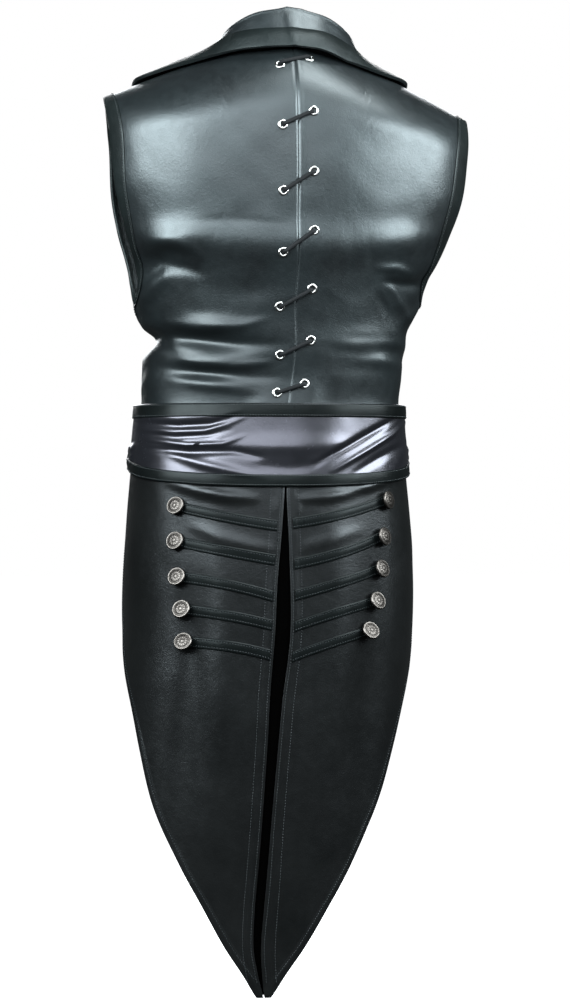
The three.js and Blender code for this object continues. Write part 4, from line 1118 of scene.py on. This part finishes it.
def button_relief(r, angle):
    """A rolled rim, a ring of beads and a twelve-petalled rosette round a boss."""
    rim = np.exp(-((r - 0.93) / 0.05) ** 2)
    beads = np.exp(-((r - 0.79) / 0.05) ** 2) * (0.5 + 0.5 * np.cos(26 * angle))
    petals = np.exp(-((r - 0.47) / 0.17) ** 2) * np.abs(np.cos(6 * angle)) ** 0.7
    boss = np.exp(-(r / 0.17) ** 2)
    groove = np.exp(-((r - 0.68) / 0.035) ** 2) + np.exp(-((r - 0.24) / 0.03) ** 2)
    return 0.9 * rim + 0.3 * beads + 0.4 * petals + 0.45 * boss - 0.3 * groove


def turned(out, across, angle):
    """Two square directions, both turned by an angle in their own plane."""
    return (out * math.cos(angle) + across * math.sin(angle),
            across * math.cos(angle) - out * math.sin(angle))


def button(name, node, turn, z, height, nod=0.0, swing=0.0):
    """A domed shank button. nod tips its face up and swing turns it sideways, in degrees."""
    radii = np.concatenate([np.linspace(0.04, 0.98, 26), [1.0]])
    angles = np.linspace(0, 2 * np.pi, BUTTON_STEPS, endpoint=False)
    r, angle = np.meshgrid(radii, angles, indexing="ij")
    relief = button_relief(r, angle)
    # The face stands 3.1 mm off the leather at its rim, domed by 3.2 mm, with its ornament on top
    dome = 3.1 + 3.2 * np.sqrt(np.clip(1 - (r * 0.97) ** 2, 0, 1)) + 0.75 * relief
    face = np.stack([r * BUTTON_RADIUS, dome, angle, relief], axis=-1)
    # The back and the shank, as (share of the radius, height)
    back = ((1.015, 2.7), (0.97, 2.1), (0.6, 1.6), (0.3, 1.1), (0.3, 0.0))
    level = np.ones(BUTTON_STEPS)
    rows = [np.stack([level * q * BUTTON_RADIUS, level * h, angles, level * 0], axis=-1) for q, h in back]
    grid = np.concatenate([face, np.array(rows)])
    p, right, up, out = seat_frame(turn, z, height)
    # A leaning button stands out far enough for its low side to clear the leather
    tip = BUTTON_RADIUS * math.sin(math.radians(math.hypot(nod, swing)))
    p = p + out * max(0.0, tip - 2.2)
    lean, sway = math.radians(nod), math.radians(swing)
    out, up = turned(out, up, lean)
    out, right = turned(out, right, sway)
    reach, height_off, round_at = grid[..., :1], grid[..., 1:2], grid[..., 2:3]
    points = p + right * (reach * np.cos(round_at)) + up * (reach * np.sin(round_at)) + out * height_off
    count = grid.shape[0]
    at = np.arange(count * BUTTON_STEPS).reshape(count, BUTTON_STEPS)
    nxt = np.roll(at, -1, axis=1)
    faces = np.stack([at[:-1], nxt[:-1], nxt[1:], at[1:]], axis=-1).reshape(-1, 4).tolist()
    faces.append(at[0].tolist())
    faces.append(at[-1].tolist())
    piece = mesh_object(name, points.reshape(-1, 3), faces, SILVER)
    worn = piece.data.attributes.new("relief", "FLOAT", "POINT")
    worn.data.foreach_set("value", np.clip(grid[..., 3], 0, 1).reshape(-1).astype(np.float32))
    settle(piece, "antique_silver", node)


# Section of a rolled eyelet, as (distance from its middle, height off the leather)
RING = ((2.8, -2.6), (3.0, -3.0), (3.3, -2.9), (3.4, 0.2), (6.0, 0.3), (6.3, 0.7), (6.1, 1.2), (5.4, 1.75),
        (4.5, 1.95), (3.6, 1.75), (3.0, 1.2), (2.8, 0.4))


def eyelet(name, x, z):
    """One rolled ring, seated on the leather at a place across and up."""
    turn = turn_at(x, z)
    lift = LEATHER + float(body_relief(turn, np.asarray(float(z))))
    p, right, up, out = seat_frame(turn, z, lift)
    angles = np.linspace(0, 2 * np.pi, 44, endpoint=False)
    sections = [[p + (right * math.cos(g) + up * math.sin(g)) * r + out * h for r, h in RING] for g in angles]
    points, faces = ring_mesh(np.array(sections), True)
    settle(mesh_object(f"{name}_ring", points, faces, NICKEL), "nickel", name)


def lace_path():
    """The lace's line through every eyelet: rising outside, falling inside."""
    seats = []
    for _, _, x, z in eyelet_places():
        turn = turn_at(x, z)
        lift = LEATHER + float(body_relief(turn, np.asarray(float(z))))
        p, _, _, out = seat_frame(turn, z, lift)
        seats.append((p, out))
    points = []
    for k, (p, out) in enumerate(seats):
        outer = seats[k + 1 if k % 2 == 0 else k - 1][0] - p
        inner_k = k - 1 if k % 2 == 0 else k + 1
        inner = seats[inner_k][0] - p if 0 <= inner_k < len(seats) else np.array([0, 0, -1.0])
        outer = unit(outer - out * outer.dot(out))
        inner = unit(inner - out * inner.dot(out))
        # Stops through the eyelet, as (way, how far that way, height off the leather)
        run = [(outer, 5.6, 3.6), (outer, 2.4, 3.4), (outer, 0.4, 1.2), (inner, 0, -3.0), (inner, 1.6, -5.6),
               (inner, 5.0, -6.6)]
        stops = [p + way * along + out * high for way, along, high in run]
        points += stops[::-1] if k % 2 == 0 else stops
    return np.array(points)


def smooth_line(points, steps):
    """A smooth line through its points."""
    out = []
    last = len(points) - 1
    for i in range(last):
        a, b, c, d = points[max(i - 1, 0)], points[i], points[i + 1], points[min(i + 2, last)]
        pull = 0.5 * min(1, np.linalg.norm(c - b) / max(np.linalg.norm(b - a), 1e-6))
        push = 0.5 * min(1, np.linalg.norm(c - b) / max(np.linalg.norm(d - c), 1e-6))
        for u in np.linspace(0, 1, steps, endpoint=False):
            start = (2 * u**3 - 3 * u**2 + 1) * b + (u**3 - 2 * u**2 + u) * pull * (c - a)
            out.append(start + (3 * u**2 - 2 * u**3) * c + (u**3 - u**2) * push * (d - b))
    return np.array(out + [points[last]])


# The flat lace is about 5 mm wide and 3 mm thick
LACE_HALF_WIDTH = 2.5
LACE_HALF_THICKNESS = 1.45
LACE_SIDES = 16


def lace():
    """The flat braided lace, with its strands as a slight relief."""
    path = smooth_line(lace_path(), 10)
    way = unit(np.gradient(path, axis=0))
    out = np.stack([np.zeros(len(path)), np.ones(len(path)), np.zeros(len(path))], axis=-1)
    beside = unit(np.cross(way, out))
    out = np.cross(beside, way)
    angles = np.linspace(0, 2 * np.pi, LACE_SIDES, endpoint=False)
    run = np.concatenate([[0], np.cumsum(np.linalg.norm(np.diff(path, axis=0), axis=1))])
    braid = 1 + 0.07 * np.cos(8 * angles[None, :]) * np.cos(run[:, None] * 2.2 + 3 * angles[None, :])
    wide = LACE_HALF_WIDTH * braid * np.cos(angles)
    thick = LACE_HALF_THICKNESS * braid * np.sin(angles)
    sections = path[:, None] + beside[:, None] * wide[..., None] + out[:, None] * thick[..., None]
    points, faces = ring_mesh(sections, False)
    piece = mesh_object("lace_cord", points, faces, CORD)
    settle(piece, "lace", "lace")


# Collar
def above(p, clear):
    """Keeps a point clear of the body, in the upright section through it."""
    x = p[0]
    width = float(column(BODY, "half", p[2]))
    deep = float(column(BODY, "back" if p[1] > 0 else "front", p[2]))
    depth = deep * max(0.02, 1 - abs(x / width) ** (2 / SECTION_POWER)) ** (SECTION_POWER / 2)
    centre = float(ridge_at(x) - rise_at(x))
    if p[2] <= centre:
        return np.array([x, math.copysign(max(abs(p[1]), depth + clear), p[1]), p[2]])
    dy, dz = p[1], p[2] - centre
    length = math.hypot(dy, dz)
    share = math.hypot(dy / depth, dz / float(rise_at(x)))
    scale = max(1, (length / share + clear) / length)
    return np.array([x, dy * scale, centre + dz * scale])


def neckline(side, along):
    """From the nape over the neck point and down the front edge to the break."""
    if along < COLLAR_NECK_SHARE:
        x = NECK_X * math.sin((along / COLLAR_NECK_SHARE) * (math.pi / 2))
        swing = NAPE_ANGLE * math.sqrt(max(0, 1 - (x / NECK_X) ** 2))
        z = float(ridge_at(x) - rise_at(x) * (1 - math.cos(swing)))
        return form(turn_at(x, z), z)
    z = mix(NECK_Z - 0.5, BREAK_Z, (along - COLLAR_NECK_SHARE) / (1 - COLLAR_NECK_SHARE))
    return form(np.pi - front_angle(side, z), z)


def collar_row(side, along, fall_shares):
    """Points up the stand, round the fold and down the fall to the outer edge."""
    seam = neckline(side, along).copy()
    word = "left" if side > 0 else "right"
    stand = float(column(COLLAR, "stand", along, "along"))
    edge = np.array([float(column(COLLAR, word + axis, along, "along")) for axis in "XYZ"])
    lift = COLLAR_LIFT + 3 * float(smoothstep(along, 0.6, 0.9))
    edge = above(edge, lift)
    front = float(smoothstep(along, 0.3, 0.5))
    inward = unit(np.array([-seam[0], -seam[1] * (1 - front), 0]))
    away = np.array([0, 1.0 if seam[1] >= 0 else -1.0, 0])
    seam += inward * (4.2 + 2 * front)
    seam[2] += 1.5
    up = unit(np.array([0.15, 0, 1 - front]) + away * front)
    fold = seam + up * stand
    out = edge - fold
    out = unit(out - up * out.dot(up))

    def around(sideways, down):
        return fold + out * sideways - up * down

    start = around(3, 2.6)
    bow = mix(start, edge, 0.45) + up * 0.04 * np.linalg.norm(edge - start)
    row = [mix(seam, around(-2.6, 2.6), s) for s in (0, 0.17, 0.33, 0.5, 0.67, 0.83)]
    for k in range(9):
        turn = math.pi * (1 - k / 8)
        row.append(fold + out * (0.2 + 2.8 * math.cos(turn)) - up * 2.6 * (1 - math.sin(turn)))
    for u in fall_shares:
        row.append(above(start * (1 - u) ** 2 + bow * 2 * u * (1 - u) + edge * u * u, lift))
    return row


# Shares of the fall, from the fold to the outer edge
FALL = np.linspace(0.06, 1, 26)


def collar_grid():
    """Rows of the whole collar, from the left front round the nape to the right front."""
    shares = np.concatenate([np.linspace(COLLAR_END, 0.36, 60), np.linspace(0.35, 0.012, 46)])
    left = [collar_row(1, s, FALL) for s in shares]
    right = [collar_row(-1, s, FALL) for s in shares]
    right = [[p * np.array([-1, 1, 1]) for p in row] for row in right][::-1]
    return np.array(left + [collar_row(1, 0, FALL)] + right)


def grid_normals(grid):
    """Directions straight off a grid of points."""
    along = np.gradient(grid, axis=0)
    across = np.gradient(grid, axis=1)
    return unit(np.cross(along, across))


def collar():
    """The stand, fold and fall in one piece, with a seam down the centre back."""
    grid = collar_grid()
    normals = grid_normals(grid)
    uneven = 0.5 * slack(grid, 30)[..., None]
    rows = np.arange(grid.shape[0])
    centre_seam = -0.9 * np.exp(-((rows - grid.shape[0] // 2) / 0.8) ** 2)[:, None, None]
    # The stand and the fold are the first 15 columns and stay even
    lift = (uneven + centre_seam) * smoothstep(np.arange(grid.shape[1]), 14, 20)[None, :, None]
    middle = grid + normals * lift
    outer = posed(middle + normals * COLLAR_WALL / 2)
    inner = posed(middle - normals * COLLAR_WALL / 2)
    points, faces = sheet_mesh(outer, inner)
    piece = mesh_object("collar_leather", points, faces, BODY_LEATHER)
    settle(piece, "leather", "collar")
    collar_binding(middle, normals)


def collar_binding(middle, normals):
    """A wide strip folded over the collar's outer edge, stitched down along both of its edges."""
    last = middle.shape[1] - 1
    width = COLLAR_BINDING_WIDTH
    reach = unit(middle[:, last] - middle[:, last - 1])
    spans = np.linalg.norm(np.diff(middle, axis=1), axis=-1)[:, ::-1]
    runs = np.concatenate([np.zeros((len(middle), 1)), np.cumsum(spans, axis=1)], axis=1)

    def at(v, height):
        """A place v in from the edge and height off the collar's middle."""
        found = []
        for i, run in enumerate(runs):
            point = np.array([np.interp(v, run, middle[i, ::-1, c]) for c in range(3)])
            normal = unit(np.array([np.interp(v, run, normals[i, ::-1, c]) for c in range(3)]))
            found.append(point + normal * height)
        return np.array(found)

    near = COLLAR_WALL / 2 + 0.15
    far = near + BINDING_LEATHER
    face = [at(width * v, near + h * BINDING_LEATHER) for v, h in
            ((1, 0), (1.01, 0.5), (0.985, 0.95), (0.95, 1.1), (0.9, 0.8), (0.84, 1.15), (0.5, 1.3),
             (0.16, 1.15), (0.1, 0.8), (0.04, 1.05))]
    edge = [at(0, far * s) + reach * r for s, r in ((0.85, 1.2), (0, 1.6), (-0.85, 1.2))]
    back = [at(width * v, -near - h * BINDING_LEATHER) for v, h in
            ((0.05, 1), (0.5, 1), (0.98, 0.9), (1, 0.1), (0.5, 0))]
    inside = [at(0, -near * 0.9) + reach * 0.3, at(0, near * 0.9) + reach * 0.3, at(width * 0.5, near)]
    points, faces = ring_mesh(posed(np.stack(face + edge + back + inside, axis=1)), False)
    piece = mesh_object("collar_binding_strip", points, faces, BINDING)
    settle(piece, "binding", "collar_binding")
    lines = []
    for v in (0.9 * width, 0.1 * width):
        line = posed(at(v, near + BINDING_LEATHER * 0.85))
        lines.append((line, posed(at(v, near + 4)) - line))
    stitches("collar_stitching", lines, THREAD, "binding")


# Camera, floor and light, in degrees round and in metres
CAMERA_TURN = 171
CAMERA_DISTANCE = 4.0
CAMERA_HEIGHT = -0.5
CAMERA_LENS = 116.3
FLOOR_HEIGHT = -1.3
FLOOR_HALF = 30.0
LIGHT_AIM = -0.2
# Soft lights, as (name, degrees round, distance, lower edge, upper edge, width, watts, tint)
SOFTBOXES = (
    ("left_softbox", CAMERA_TURN - 42, 2.3, 0.0, 1.2, 1.9, 180, "#eef6fa"),
    ("right_softbox", CAMERA_TURN + 64, 2.3, 0.0, 1.2, 1.9, 173, "#eef6fa"),
    ("high_softbox", CAMERA_TURN, 2.5, 0.3, 1.8, 2.1, 88, "#eef4fa"),
    ("top_softbox", CAMERA_TURN + 50, 1.1, 1.7, 2.1, 1.3, 68, "#f2f8fa"),
    ("front_softbox", 0, 3.0, 0.0, 1.6, 2.6, 105, "#f4f6f8"),
)
WORLD_LIGHT = 0.06


def stand_at(thing, azimuth, distance, height, aim_height):
    """Stands a camera or a lamp some degrees round from the front, facing the coat's middle line."""
    turn = math.radians(azimuth)
    thing.location = (distance * math.sin(turn), -distance * math.cos(turn), height)
    aim = Vector((0, 0, aim_height)) - thing.location
    thing.rotation_euler = aim.to_track_quat("-Z", "Y").to_euler()
    bpy.context.scene.collection.objects.link(thing)
    return aim


def camera():
    """Level with the coat's middle, behind it and a little round to the wearer's left."""
    lens = bpy.data.cameras.new("camera")
    lens.lens = CAMERA_LENS
    lens.sensor_width = 36
    lens.clip_end = 100
    viewer = bpy.data.objects.new("camera", lens)
    stand_at(viewer, CAMERA_TURN, CAMERA_DISTANCE, CAMERA_HEIGHT, CAMERA_HEIGHT)
    bpy.context.scene.camera = viewer


def floor():
    """A plain white floor, lit from within so that it meets the white background without a line."""
    mesh = bpy.data.meshes.new("floor")
    corners = [(x * FLOOR_HALF, y * FLOOR_HALF, FLOOR_HEIGHT)
               for x, y in ((-1, -1), (1, -1), (1, 1), (-1, 1))]
    mesh.from_pydata(corners, [], [(0, 1, 2, 3)])
    finish, tree = new_finish("matte_white_paper")
    paper = add_node(tree, "ShaderNodeBsdfPrincipled", {
        "Base Color": linear("#e8e8e8"), "Roughness": 0.9, "Specular IOR Level": 0.0,
        "Emission Color": linear("#ffffff"), "Emission Strength": 0.97})
    add_node(tree, "ShaderNodeOutputMaterial", None, {"Surface": paper.outputs["BSDF"]})
    mesh.materials.append(finish)
    ground = bpy.data.objects.new("floor", mesh)
    ground.visible_diffuse = False
    ground.visible_glossy = False
    bpy.context.scene.collection.objects.link(ground)


def softbox(name, azimuth, distance, low, high, width, power, tint):
    """An upright soft light between two heights, facing the coat's upper back."""
    light = bpy.data.lights.new(name, "AREA")
    light.shape = "RECTANGLE"
    light.size = width
    light.energy = power
    light.color = linear(tint)[:3]
    lamp = bpy.data.objects.new(name, light)
    aim = stand_at(lamp, azimuth, distance, (low + high) / 2, LIGHT_AIM)
    tilt = math.atan2(-aim.z, math.hypot(aim.x, aim.y))
    light.size_y = (high - low) / max(0.3, math.cos(tilt))


def lights():
    """The soft lights, a faint fill all round, and a white background that only the camera sees."""
    for row in SOFTBOXES:
        softbox(*row)
    world = bpy.data.worlds.new("studio")
    bpy.context.scene.world = world
    world.use_nodes = True
    tree = world.node_tree
    tree.nodes.clear()
    rays = add_node(tree, "ShaderNodeLightPath")
    seen = add_node(tree, "ShaderNodeBackground", {"Color": linear("#ffffff"), "Strength": 1.0})
    fill = add_node(tree, "ShaderNodeBackground", {"Color": linear("#e6eef0"), "Strength": WORLD_LIGHT})
    both = add_node(tree, "ShaderNodeMixShader", None,
                    {0: rays.outputs["Is Camera Ray"], 1: fill.outputs[0], 2: seen.outputs[0]})
    add_node(tree, "ShaderNodeOutputWorld", None, {"Surface": both.outputs[0]})
    bpy.context.scene.view_settings.view_transform = "Standard"


# The whole coat
def tail_button(word, side, index, row):
    """The button at a band's outer end, leaning its own way."""
    a, z = band_stations(side, row, 0.0)[-1]
    turn = side * float(tail_angle(side, a, z)) * BUTTON_SHARE
    height = LEATHER + BAND_LEATHER + 3 * LAYER_GAP
    nod, swing = BUTTON_LEANS[side][index - 1]
    node = f"tail_button_{word}_{index}"
    button(f"{node}_cast", node, turn, z, height, nod, swing)


def front_buttons():
    """Four buttons on the lapped front and one on the waistband's lapped end."""
    lapped = LEATHER + LAP_LIFT + 2 * LAYER_GAP
    waist_lapped = WAIST_OUTER + LAP_LIFT + WAIST_LAP_LIFT + 2 * LAYER_GAP
    heights = [(z, lapped) for z in FRONT_BUTTONS] + [(WAIST_BUTTON, waist_lapped)]
    for index, (z, height) in enumerate(heights, 1):
        node = f"front_button_{index}"
        button(f"{node}_cast", node, np.pi, z, height)


def coat():
    """Every piece, from the collar down."""
    collar()
    for word, side in SIDES:
        body_panel(side, 1, f"back_{word}_leather", f"back_{word}")
        body_panel(side, -1, f"front_{word}_leather", f"front_{word}")
        armhole_binding(word, side)
    waistband()
    band_lines = []
    for word, side in SIDES:
        tail(word, side)
        for index, row in enumerate(BANDS[side], 1):
            band_lines += band(word, side, index, row)
            tail_button(word, side, index, row)
    stitches("band_stitching", band_lines, THREAD, "binding", FINE_STITCH)
    underlap()
    front_buttons()
    for name, _, x, z in eyelet_places():
        eyelet(name, x, z)
    lace()


camera()
floor()
lights()
coat()
